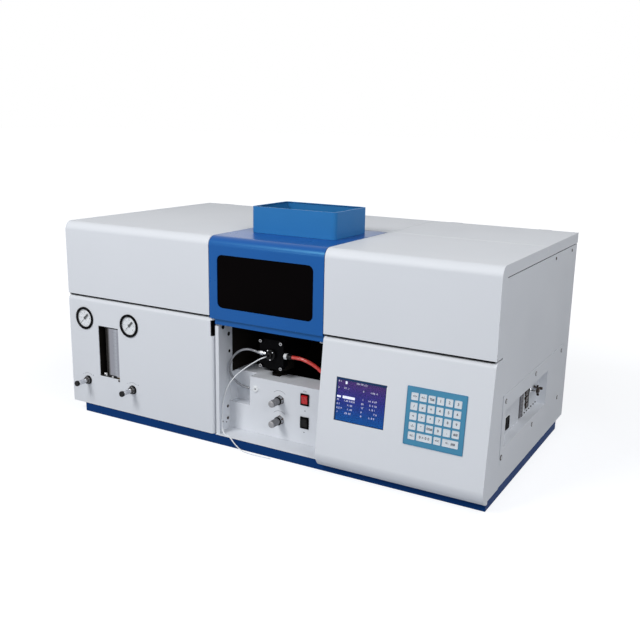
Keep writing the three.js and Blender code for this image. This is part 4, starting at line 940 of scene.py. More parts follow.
@dataclass
class Studio:
    """Camera at the photograph's place, pale floor and soft lights."""

    focal_px: float = 823.2
    frame_px: float = 640.0
    azimuth: float = 29.73
    elevation: float = 13.73
    roll: float = 1.06
    eye: tuple[float, float, float] = (1427.17, -1326.58, 677.2)
    sensor_mm: float = 36.0
    room_light: float = 0.18
    room_colour: Colour = (0.93, 0.96, 1.0)
    floor_colour: Colour = (0.34, 0.36, 0.4)
    glow_reach: Span = (0.7, 2.2)
    glow_range: Span = (0.78, 1.0)
    lamps: tuple[Lamp, ...] = (
        Lamp("key_light", (-0.8, -2.25, 2.0), (0, 0, 0.2), 1.0, 45),
        Lamp("low_light", (-1.35, -2.75, 0.8), (0, -0.2, 0.4), 0.45, 5),
        Lamp("fill_light", (2.0, -2.6, 1.0), (0.1, -0.2, 0.25), 1.4, 9),
        Lamp("side_light", (2.4, -1.6, 1.7), (0.3, 0, 0.25), 1.4, 15),
        Lamp("top_light", (1.8, -0.4, 2.8), (0.2, 0, 0.3), 1.4, 20),
    )

    def camera(self) -> None:
        """Sets the camera that sees the object as the photograph does."""
        a, e, r = (math.radians(v) for v in (self.azimuth, self.elevation, self.roll))
        ahead = Vector((-math.sin(a) * math.cos(e), math.cos(a) * math.cos(e), -math.sin(e)))
        right = Vector((math.cos(a), math.sin(a), 0))
        up = right.cross(ahead)
        turned_right = right * math.cos(r) + up * math.sin(r)
        turned_up = up * math.cos(r) - right * math.sin(r)
        turn = Matrix((turned_right, turned_up, -ahead)).transposed().to_euler()
        clear_selection()
        bpy.ops.object.camera_add(location=at(*self.eye), rotation=turn)
        camera = bpy.context.object
        camera.data.sensor_width = self.sensor_mm
        camera.data.lens = self.sensor_mm * self.focal_px / self.frame_px
        camera.data.clip_end = 50
        bpy.context.scene.camera = camera

    def seen_white(self, tree: bpy.types.NodeTree) -> bpy.types.NodeSocket:
        """A factor that is 1 where the camera, a reflection or a clear piece looks.

        Args:
            tree: Tree that gets the nodes.

        Returns:
            The socket that carries the result.
        """
        path = tree.nodes.new("ShaderNodeLightPath")
        factor = path.outputs["Is Camera Ray"]
        for ray in ("Is Glossy Ray", "Is Transmission Ray"):
            either = tree.nodes.new("ShaderNodeMath")
            either.operation = "MAXIMUM"
            tree.links.new(factor, either.inputs[0])
            tree.links.new(path.outputs[ray], either.inputs[1])
            factor = either.outputs[0]
        return factor

    def floor(self) -> None:
        """Lays a wide pale floor that keeps the object's shadow."""
        clear_selection()
        bpy.ops.mesh.primitive_plane_add(size=60, location=(0, 0, 0))
        floor = bpy.context.object
        floor.name = "floor"
        material = bpy.data.materials.new("pale_floor")
        material.use_nodes = True
        tree = material.node_tree
        tree.nodes.clear()
        surface = tree.nodes.new("ShaderNodeBsdfDiffuse")
        surface.inputs["Color"].default_value = (*self.floor_colour, 1)
        glow = tree.nodes.new("ShaderNodeEmission")
        glow.inputs["Color"].default_value = (1, 1, 1, 1)
        place = tree.nodes.new("ShaderNodeTexCoord")
        reach = tree.nodes.new("ShaderNodeVectorMath")
        reach.operation = "LENGTH"
        white = tree.nodes.new("ShaderNodeMapRange")
        white.inputs["From Min"].default_value, white.inputs["From Max"].default_value = self.glow_reach
        white.inputs["To Min"].default_value, white.inputs["To Max"].default_value = self.glow_range
        tree.links.new(place.outputs["Object"], reach.inputs[0])
        tree.links.new(reach.outputs["Value"], white.inputs["Value"])
        lift = tree.nodes.new("ShaderNodeMath")
        lift.operation = "MULTIPLY"
        tree.links.new(self.seen_white(tree), lift.inputs[0])
        tree.links.new(white.outputs["Result"], lift.inputs[1])
        tree.links.new(lift.outputs[0], glow.inputs["Strength"])
        both = tree.nodes.new("ShaderNodeAddShader")
        output = tree.nodes.new("ShaderNodeOutputMaterial")
        tree.links.new(surface.outputs[0], both.inputs[0])
        tree.links.new(glow.outputs[0], both.inputs[1])
        tree.links.new(both.outputs[0], output.inputs["Surface"])
        floor.data.materials.append(material)

    def sky(self) -> None:
        """Fills the room with even light and shows white behind the object."""
        world = bpy.data.worlds.new("studio")
        bpy.context.scene.world = world
        world.use_nodes = True
        tree = world.node_tree
        tree.nodes.clear()
        fill = tree.nodes.new("ShaderNodeBackground")
        fill.inputs["Color"].default_value = (*self.room_colour, 1)
        fill.inputs["Strength"].default_value = self.room_light
        seen = tree.nodes.new("ShaderNodeBackground")
        seen.inputs["Color"].default_value = (1, 1, 1, 1)
        seen.inputs["Strength"].default_value = 1.0
        mixer = tree.nodes.new("ShaderNodeMixShader")
        output = tree.nodes.new("ShaderNodeOutputWorld")
        tree.links.new(self.seen_white(tree), mixer.inputs[0])
        tree.links.new(fill.outputs[0], mixer.inputs[1])
        tree.links.new(seen.outputs[0], mixer.inputs[2])
        tree.links.new(mixer.outputs[0], output.inputs["Surface"])

    def build(self) -> None:
        """Makes camera, floor, sky and lights."""
        self.camera()
        self.floor()
        self.sky()
        for lamp in self.lamps:
            lamp.build()
        bpy.context.scene.view_settings.view_transform = "Standard"


# Hoses and capillary


def places(*points: tuple[float, float, float]) -> list[Vector]:
    """Route points in metres."""
    return [at(*point) for point in points]


@dataclass
class Tubing:
    """Fuel hose, gas tube and sample capillary, each split where the burner's two slides meet."""

    fuel_radius: float = 4.0
    gas_radius: float = 2.5
    capillary_radius: float = 1.2

    fuel_route = places(
        (564.3, 71, 195), (572, 71, 195.3), (584, 71, 195.2), (598, 71.5, 192.5), (612, 72.5, 187.5),
        (625, 73.8, 180.5), (636, 75, 171.5), (643.5, 75.8, 161), (647.3, 76, 150), (648, 76, 140),
        (648, 76, 132))
    gas_route = places(
        (485.7, 58, 198), (476, 58, 199.3), (466, 58, 200), (456, 57.2, 199), (446, 55, 195.5),
        (437, 51, 189),
        (431, 45.5, 180), (428.5, 40.5, 170), (428.3, 37.5, 160), (429.3, 38.5, 149), (431.5, 43, 138),
        (435.5, 49.5, 127.5), (442, 56, 119), (451, 60.5, 113.8), (462, 62, 112), (476, 62, 112))
    upper_route = places(
        (516, 45.7, 195), (515.6, 41, 194.8), (511.5, 37.3, 193), (504.5, 35, 189), (496, 33.4, 183.2),
        (487, 32.2, 177), (477.5, 31.3, 170), (468, 30.5, 162.6), (458.8, 29.8, 154.5))
    lower_route = places(
        (458.6, 29.8, 154.3), (450, 29.2, 146), (442, 28.4, 136.8), (435, 27, 126), (429.8, 24.6, 114.5),
        (426.8, 21.4, 101.5), (425.4, 17.8, 87.5), (425, 15.4, 70), (425.4, 13.6, 52), (426.8, 11.4, 36),
        (430.6, 8.6, 25.2), (437, 5.2, 20.8), (445, 2, 20.3), (453, -0.4, 19.9), (460, -2.4, 16.6),
        (466.6, -3, 10.6), (473.5, -2.6, 4.4), (481.5, -2.6, -0.9), (491, -3.6, -3.9), (502, -5, -4.7),
        (514, -5.8, -4.7), (527, -5.8, -4.7), (540, -5.2, -4.7), (551, -4.4, -4.7), (560, -4, -4.7))

    def stretch(self, name: str, route: list[Vector], radius: float, finish: Finish, slot: str,
                bodies: tuple[str, str], exit_point: Vector, far_end: str, stiffness: str,
                replaces: tuple[str, ...]) -> Piece:
        """Makes one stretch of tube along its route and hides the solids that it stands for.

        Args:
            name: Name of the piece.
            route: Route points in metres.
            radius: Radius in millimetres.
            finish: Its finish.
            slot: Material slot of the record; not used.
            bodies: The two bodies that its ends move with; not used.
            exit_point: Where it leaves the object; not used.
            far_end: What its other end does; not used.
            stiffness: How stiff it is; not used.
            replaces: Solids that it stands for.

        Returns:
            The piece.
        """
        piece = dress(tube_mesh(name, route, radius), finish)
        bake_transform(piece)
        if replaces:
            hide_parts(*replaces)
        log.info("%s is %.0f mm long", name, route_length(route) * 1000)
        return piece

    def hose(self, name: str, route: list[Vector], split: int, radius: float, finish: Finish,
             slot: str) -> None:
        """Makes a hose in two stretches that meet at one of its route points.

        Args:
            name: Name of the piece.
            route: Route points in metres.
            split: Number of the route point where it is split.
            radius: Radius in millimetres.
            finish: Its finish.
            slot: Material slot of the record.
        """
        first, second = route[:split + 1], route[split:]
        self.stretch(f"{name}_upper", first, radius, finish, slot, ("burner_lift", "burner_slide"), route[0],
                     "object", "medium", (name,))
        self.stretch(f"{name}_lower", second, radius, finish, slot, ("burner_slide", ROOT_BODY), route[split],
                     "object", "medium", ())

    def build(self) -> None:
        """Makes both hoses and the capillary."""
        self.hose("fuel_hose", self.fuel_route, 5, self.fuel_radius, RED_TUBE, "red_tube")
        self.hose("nebulizer_hose", self.gas_route, 8, self.gas_radius, GAS_TUBE, "clear_tube")
        self.stretch("capillary_upper_tube", self.upper_route, self.capillary_radius, CLEAR_TUBE,
                     "clear_tube",
                     ("burner_lift", "burner_slide"), self.upper_route[0], "object", "limp",
                     ("capillary_upper",))
        self.stretch("capillary_lower_tube", self.lower_route, self.capillary_radius, CLEAR_TUBE,
                     "clear_tube",
                     ("burner_slide", ROOT_BODY), self.lower_route[0], "bare", "limp", ("capillary_lower",))


# Sheet metal


@dataclass
class SheetMetal:
    """Covers, panels and plinth: the bent sheets with softened edges and their enamel."""

    edge: float = 0.45
    wide_edge: float = 0.75

    def lid_bead(self) -> None:
        """Lays the fine bead that crosses the right cover's top and its flange."""
        top = block("lid_bead", (679.5, 1018.6), (282.2, 284.2), (442.9, 443.25))
        flange = block("flange_bead", (1019.9, 1020.25), (282.2, 284.2), (421.5, 440.5))
        mount(soften(gather("lid_bead", [top, flange]), 0.06), WHITE_PLASTIC, "right_lid")

    def lid_seals(self) -> None:
        """Lays black strips in the seams under the front edges of both covers: painted shade that darkens the
        seam gaps.
        """
        for name, x in (("left_lid", (3.0, 401.0)), ("right_lid", (681.0, 1016.0))):
            # Painted shade: each black strip stands in for the shade in the seam under a cover's front edge.
            mount(soften(block(f"{name}_seal", x, (1.4, 10), (274.5, 277.2)), 0.4), SATIN_BLACK, name)

    def build(self) -> None:
        """Finishes every large sheet."""
        white = ("rear_panel", "left_lower_panel", "right_lower_panel", "middle_rear_cover", "bay_surround",
                 "control_box", "service_panel")
        for node in white:
            mount(softened_node(node, self.edge), WHITE_PAINT, replaces=(node,))
        for node in ("left_side_panel", "right_side_panel"):
            mount(softened_node(node, self.wide_edge), WHITE_PAINT, replaces=(node,))
        for node in ("left_lid", "right_lid"):
            mount(softened_node(node, self.edge), WHITE_PAINT, node, (node,))
        self.lid_bead()
        self.lid_seals()
        mount(softened_node("hood", self.edge), BLUE_PAINT, "hood", ("hood",))
        mount(softened_node("chimney", self.edge), CHIMNEY_PAINT, "hood", ("chimney",))
        mount(softened_node("hood_window", 0.3), TINTED_PANE, "hood", ("hood_window",))
        mount(softened_node("base_plinth", 0.8), NAVY_PAINT, replaces=("base_plinth",))
        mount(softened_node("bay_liner", 0.3), BLACK_PAINT, replaces=("bay_liner",))


# Left panel


@dataclass
class PressureGauges:
    """Two dial gauges with black rims, tick marks, numbers and pointers."""

    xs: tuple[float, float] = (47.7, 182.0)
    height: float = 223.3
    rim_radius: float = 26.0
    dial_radius: float = 20.6
    dial_y: float = 0.5
    rest_angle: float = 225.0
    sweep: float = 270.0
    ticks: int = 31

    def case(self, side: str, x: float) -> None:
        """Turns the rim and the case behind the panel.

        Args:
            side: Left or right.
            x: Place along x.
        """
        centre, rim, dial = (x, self.height), self.rim_radius, self.dial_radius
        ring = turned(f"gauge_rim_{side}", Axis.Y, centre, [
            (-0.3, rim), (-2.3, rim), (-2.5, rim - 0.2), (-2.5, dial + 0.2), (-2.3, dial), (0.45, dial),
            (0.45, 23.9), (-0.3, 23.95)], 64, hollow=True)
        mount(soften(ring, 0.1), SATIN_BLACK)
        body = turned(f"gauge_case_{side}", Axis.Y, centre, [
            (0.6, 24.0), (30.5, 24.0), (32.0, 22.5), (32.0, 8.0)], 64)
        mount(soften(body, 0.3), GAUGE_WHITE, replaces=(f"pressure_gauge_{side}",))

    def marks(self, side: str, x: float) -> None:
        """Lays the ticks and numbers on the dial.

        Args:
            side: Left or right.
            x: Place along x.
        """
        marks = []
        for i in range(self.ticks):
            long = i % 5 == 0
            length, width = (3.6, 0.5) if long else (2.0, 0.28)
            outer = self.dial_radius - 1.2
            mark = block("tick", (x - width / 2, x + width / 2), (self.dial_y - 0.05, self.dial_y + 0.1),
                         (self.height + outer - length, self.height + outer))
            angle = math.radians(-135 + self.sweep * i / (self.ticks - 1))
            marks.append(turn_about(mark, at(x, 0, self.height), angle, "Y"))
        for i in range(7):
            angle = math.radians(self.rest_angle - self.sweep * i / 6)
            reach = self.dial_radius - 7.8
            marks.append(lettering("number", str(i), x + reach * math.cos(angle), self.dial_y - 0.05,
                                   self.height + reach * math.sin(angle), 4.4, 0.1))
        mount(gather(f"gauge_marks_{side}", marks), DARK_PRINT)

    def glass(self, side: str, x: float) -> None:
        """Sets a thin domed glass inside the rim.

        Args:
            side: Left or right.
            x: Place along x.
        """
        lens = turned(f"gauge_glass_{side}", Axis.Y, (x, self.height), [
            (-1.4, 20.55), (-1.6, 20.4), (-1.9, 15.0), (-2.05, 6.0)], 64)
        bpy.ops.object.shade_smooth_by_angle(angle=ROUND_ANGLE)
        mount(lens, CLEAR_GLASS)

    def pointer(self, side: str, x: float) -> None:
        """Shapes the pointer: a slim blade, a broad tail and a domed hub.

        Args:
            side: Left or right.
            x: Place along x.
        """
        y = (-0.95, -0.45)
        blade = block("blade", (x - 0.5, x + 0.5), y, (self.height, self.height + 17))
        tip = at(0, 0, self.height + 16).z
        squeeze(blade, lambda point: point.z > tip, (0.3, 1, 1), at(x, -0.7, self.height + 17))
        tail = block("tail", (x - 2.3, x + 2.3), y, (self.height - 13, self.height))
        hub = turned("hub", Axis.Y, (x, self.height), [
            (0.4, 1.6), (-0.4, 1.6), (-0.4, 3.6), (-1.1, 3.3), (-1.25, 1.4)], 24)
        pointer = gather(f"gauge_pointer_{side}", [blade, tail, hub])
        turn_about(pointer, at(x, 0, self.height), math.radians(-135), "Y")
        mount(soften(pointer, 0.08), SATIN_BLACK, f"gauge_needle_{side}",
              (f"gauge_needle_{side}",))

    def build(self) -> None:
        """Makes both gauges."""
        for side, x in zip(("left", "right"), self.xs):
            self.case(side, x)
            self.marks(side, x)
            self.glass(side, x)
            self.pointer(side, x)


@dataclass
class GasValves:
    """Two needle valves: hexagon nut, neck, slim steel handle with a black end, and printed arcs."""

    xs: tuple[float, float] = (49.5, 186.5)
    height: float = 75.2

    def body(self, side: str, x: float) -> None:
        """Shapes the nut, the washer, the valve body behind the panel, and a black disc on the nut's front
        that paints the shade around the handle's root.

        Args:
            side: Left or right.
            x: Place along x.
        """
        centre = (x, self.height)
        washer = turned("washer", Axis.Y, centre, [(-0.3, 10.4), (-1.2, 10.4), (-1.5, 10.0), (-1.5, 5.0)], 40)
        nut = turned("nut", Axis.Y, centre, [(-1.4, 8.4), (-2.0, 9.0), (-6.6, 9.0), (-7.3, 8.0)], 6)
        neck = turned("neck", Axis.Y, centre, [(27.9, 6.0), (-7.4, 6.0), (-8.6, 5.0)], 32)
        rear = block("rear", (x - 13, x + 13), (1.9, 27.9), (self.height - 13, self.height + 13))
        nut = soften(nut, 0.35)
        rear = soften(rear, 1.2)
        valve = gather(f"gas_valve_body_{side}", [nut, neck, rear])
        mount(valve, DARK_STEEL, replaces=(f"gas_valve_{side}",))
        # Painted shade: the black disc on the nut's front face stands in for the shade around the handle's
        # root; the washer is black.
        face = turned("face", Axis.Y, centre, [(-7.0, 7.6), (-7.5, 7.6), (-7.7, 7.2), (-7.7, 4.6)], 32)
        mount(gather(f"gas_valve_washer_and_shade_{side}", [washer, face]), SATIN_BLACK)

    def handle(self, side: str, x: float) -> None:
        """Turns the slim handle with its grooves and sets the black end on it.

        Args:
            side: Left or right.
            x: Place along x.
        """
        centre = (x, self.height)
        handle = turned(f"gas_handle_{side}", Axis.Y, centre, [
            (-7.6, 3.2), (-9.6, 3.2), (-9.8, 4.6), (-12.0, 4.8), (-12.4, 4.2), (-13.2, 4.2), (-13.6, 5.2),
            (-30.6, 5.2), (-31.2, 4.7), (-33.0, 4.7)], 40)
        node = f"gas_valve_knob_{side}"
        mount(soften(handle, 0.15), HANDLE_STEEL, node, (node,))
        end = turned(f"gas_handle_end_{side}", Axis.Y, centre, [
            (-32.4, 5.4), (-32.8, 6.2), (-33.4, 6.5), (-37.4, 6.5), (-38.4, 5.8), (-38.4, 2.0), (-38.0, 1.0)],
                     40)
        mount(soften(end, 0.2), BLACK_PLASTIC, node)

    def prints(self, side: str, x: float) -> None:
        """Prints the arc with its arrow ends and the minus and plus beside the valve.

        Args:
            side: Left or right.
            x: Place along x.
        """
        marks = arc_of_dashes((x, self.height), 0.0, 17, (1.2, 0.22), 52, 15)
        marks.append(lettering("sign", "-", x - 16, -0.12, self.height + 13, 8, 0.17))
        marks.append(lettering("sign", "+", x + 16, -0.12, self.height + 13, 7, 0.17))
        mount(gather(f"gas_valve_print_{side}", marks), PRINT)

    def build(self) -> None:
        """Makes both valves."""
        for side, x in zip(("left", "right"), self.xs):
            self.body(side, x)
            self.handle(side, x)
            self.prints(side, x)


@dataclass
class Flowmeter:
    """Clear flow block with its scale, end fittings, float and the dark recess beside it."""

    window_x: Span = (88.0, 148.0)
    window_z: Span = (92.0, 211.0)
    block_x: Span = (113.0, 146.0)
    block_y: Span = (3.0, 25.0)
    block_z: Span = (95.0, 208.0)
    bore: Span = (129.5, 14.0)

    def recess(self) -> None:
        """Lines the window with a black frame that runs back to the manifold."""
        x, z = self.window_x, self.window_z
        outer = block("flow_recess", (x[0] - 1.2, x[1] + 1.2), (1.9, 36), (z[0] - 1.2, z[1] + 1.2))
        inner = block("hollow", (x[0] + 0.2, x[1] - 0.2), (-1, 35), (z[0] + 0.6, z[1] - 0.6))
        frame_piece = carve(outer, inner)
        arms = [block("slot", (112.6, 146.4), (1.5, 40), span) for span in ((74, 95.0), (208.0, 226))]
        mount(soften(carve(frame_piece, *arms), 0.2), BLACK_PAINT)
        sill = block("flow_sill", (x[0] + 0.3, x[1] - 0.3), (0.3, 24), (z[0] + 0.3, z[0] + 1.2))
        mount(soften(sill, 0.2), ANODISED)
        lintel = block("flow_lintel", (x[0] + 0.3, x[1] - 0.3), (2.1, 2.7), (z[1] - 2.8, z[1] + 1))
        mount(soften(lintel, 0.1), SATIN_BLACK)
        rail = block("flow_rail", (103.5, 112.7), (7, 33), (z[0] + 1.5, z[1] - 1))
        grooves = [block("groove", (left, left + 1.2), (6, 8), (z[0], z[1])) for left in (105.2, 108.2)]
        mount(soften(carve(rail, *grooves), 0.2), ANODISED)

    def block(self) -> None:
        """Makes the clear block with its bore and the scale along it; its finish paints shade and a highlight
        across the block.
        """
        body = block("flow_block", self.block_x, self.block_y, self.block_z)
        bore = turned("bore", Axis.Z, self.bore, [(90, 4.5), (212, 4.5)], 40)
        mount(soften(carve(body, bore), 0.5), CLEAR_BLOCK_PAINTED_SHADE,
              replaces=("flowmeter_block",))
        marks = []
        for i in range(37):
            long = i % 3 == 0
            z = 103 + i * 2.7
            x0 = 133.0 if long else 137.6
            marks.append(block("line", (x0, 143.6), (2.88, 3.02), (z - 0.25, z + 0.25)))
            if i % 6 == 0:
                marks.append(lettering("number", str(i // 6), 129.6, 2.88, z, 4.4, 0.12))
        mount(gather("flow_scale", marks), PRINT)

    def fittings(self) -> None:
        """Adds the steel end fittings, the black foot and the small screw at the window's corner."""
        z = self.window_z[0] + 1.3
        for name, x, y, top in (("left", 96.0, 8.0, 5.4), ("middle", 104.4, 4.2, 7.6),
                                ("right", 127.0, 0.4, 3.6)):
            nut = turned(f"flow_fitting_{name}", Axis.Z, (x, y), [
                (z, 2.4), (z + 0.4, 3.2), (z + top * 0.6, 3.2), (z + top * 0.75, 2.4), (z + top, 1.8)], 6)
            mount(soften(nut, 0.2), STEEL)
        foot = block("flow_foot", (109.0, 137.0), (1.2, 2.8), (z, z + 4.4))
        mount(soften(foot, 0.5), BLACK_PLASTIC)
        x, z = 145.6, 88.6
        screw = turned("flow_screw", Axis.Y, (x, z), [(0.05, 2.6), (-0.8, 2.6), (-1.3, 1.9)], 24)
        slot = block("slot", (x - 3, x + 3), (-2, -0.9), (z - 0.4, z + 0.4))
        mount(soften(carve(screw, turn_about(slot, at(x, 0, z), 0.7, "Y")), 0.1), SCREW)

    def bob(self) -> None:
        """Turns the float."""
        x, y = self.bore
        bob = turned("flow_bob", Axis.Z, (x, y), [
            (95.3, 1.2), (98.6, 3.4), (99.6, 3.6), (101.6, 3.6), (102.2, 2.9), (103.4, 2.9), (104.3, 2.2)],
                     32)
        mount(soften(bob, 0.1), STEEL, "flowmeter_float", ("flowmeter_float",))

    def build(self) -> None:
        """Makes the flowmeter."""
        self.recess()
        self.block()
        self.fittings()
        self.bob()


# Right panel


@dataclass
class Display:
    """Lit display behind the panel's window, with its frame, digits and board."""

    x: Span = (713.3, 819.0)
    z: Span = (-148.9, -64.3)
    text_size: float = 4.7

    def glass(self) -> None:
        """Makes the lit pane, the pale gleam along its edge and its dark frame."""
        pane = block("display_pane", (self.x[0] + 2.2, self.x[1] - 1.8), (1.6, 3.4),
                     (self.z[0] + 1.2, self.z[1] - 4.2))
        mount(soften(lay_on_face(pane), 0.2), SCREEN, replaces=("display_module",))
        gleam = block("display_gleam", (self.x[0] - 0.4, self.x[1] + 0.9), (-0.1, 1.2),
                      (self.z[0] - 1.3, self.z[1] - 3))
        hollow = block("hollow", (self.x[0] - 2, self.x[1] - 0.3), (-1, 2), (self.z[0] - 0.1, self.z[1]))
        mount(soften(lay_on_face(carve(gleam, hollow)), 0.15), WHITE_PLASTIC)
        outer = block("display_frame", self.x, (0.9, 4.2), self.z)
        inner = block("hollow", (self.x[0] + 2.1, self.x[1] - 1.7), (-1, 1.6),
                      (self.z[0] + 1.1, self.z[1] - 4.1))
        mount(soften(lay_on_face(carve(outer, inner)), 0.2), FRAME_PAINT)

    def digits(self) -> None:
        """Sets rows of numbers and one lit bar on the pane."""
        rows = [
            (-71.5, [(4, "0 1"), (42, "324.75 (1)")]),
            (-84.0, [(4, "2"), (17, "07. 1"), (57, "0"), (72, "-100. 0")]),
            (-100.0, [(57, "1"), (69, "10. 0 07")]),
            (-108.0, [(3, "02"), (18, "1.00 0.050"), (55, "06"), (72, "0. 3 10")]),
            (-116.0, [(3, "0.7"), (26, "0. 02"), (55, "17"), (72, "1. 0 1")]),
            (-124.0, [(3, "4.217"), (26, "1. 02"), (55, "0"), (82, "7 0")]),
            (-132.0, [(4, "1"), (21, "20. 02"), (55, "0"), (72, "1. 0 2")]),
        ]
        marks = []
        for z, cells in rows:
            for offset, words in cells:
                marks.append(lettering("cell", words, self.x[0] + offset, 1.45, z, self.text_size, 0.15,
                                       "LEFT", spacing=1.16))
        marks.append(slab("bar", (self.x[0] + 15, self.x[0] + 41), (1.44, 1.6), (-103.6, -98.6), 0.6, 0.05))
        marks.append(slab("bar", (self.x[0] + 3, self.x[0] + 11), (1.44, 1.6), (-103.0, -99.4), 0.6, 0.05))
        marks.append(slab("bar", (self.x[0] + 19, self.x[0] + 23), (1.44, 1.6), (-75.5, -70), 0.8, 0.05))
        mount(lay_on_face(gather("display_rows", marks)), SCREEN_TEXT)

    def board(self) -> None:
        """Adds the board behind the pane, with two long connectors."""
        plate = block("display_board", (705.0, 827.3), (4.6, 6.4), (-157.2, -56.0))
        mount(soften(lay_on_face(plate), 0.2), BOARD)
        strips = [block("strip", (725, 807), (6.4, 11.9), (z, z + 6)) for z in (-150, -70)]
        mount(soften(lay_on_face(gather("display_strips", strips)), 0.4), BLACK_PLASTIC)

    def build(self) -> None:
        """Makes the display."""
        self.glass()
        self.digits()
        self.board()


@dataclass
class Keypad:
    """Membrane keypad with raised white keys and generic legends."""

    x: Span = (860.5, 975.5)
    z: Span = (-164.3, -55.0)
    first_x: float = 869.3
    first_z: float = -66.0
    pitch_x: float = 16.65
    pitch_z: float = 18.35
    key_width: float = 13.7
    key_height: float = 13.9

    def keys(self) -> list[tuple[float, float, float, str]]:
        """Left edge, top edge, width and legend of every key."""
        legends = [
            ["<>", "+/-", "%#", "1", "2", "3"],
            ["/", "x", "=", "4", "5", "6"],
            ["<", ">", "^", "7", "8", "9"],
            ["-/-", "*", "00#", "0", ".", "##"],
        ]
        keys = []
        for row, words in enumerate(legends):
            for column, word in enumerate(words):
                left, top = self.first_x + column * self.pitch_x, self.first_z - row * self.pitch_z
                keys.append((left, top, self.key_width, word))
        wide = self.key_width + self.pitch_x
        z = self.first_z - 4 * self.pitch_z
        bottom = ((0, self.key_width, "+/-"), (1, wide, "0 > 0 0"), (3, self.key_width, "<<"),
                  (4, wide, "<-  ##"))
        for column, width, word in bottom:
            keys.append((self.first_x + column * self.pitch_x, z, width, word))
        return keys

    def build(self) -> None:
        """Makes membrane, keys and legends."""
        membrane = slab("keypad_sheet", self.x, (-1.0, -0.15), self.z, 1.6, 0.15)
        mount(lay_on_face(membrane), MEMBRANE, replaces=("keypad_membrane",))
        pads, words = [], []
        for left, top, width, word in self.keys():
            pads.append(slab("key", (left, left + width), (-1.45, -0.9), (top - self.key_height, top), 1.3,
                             0.18))
            words.append(lettering("legend", word, left + width / 2, -1.5, top - self.key_height / 2, 7.0,
                                   0.12, bold=0.3))
        mount(lay_on_face(gather("keypad_keys", pads)), KEY_CAP)
        mount(lay_on_face(gather("keypad_legends", words)), LEGEND_PRINT)


# Service side


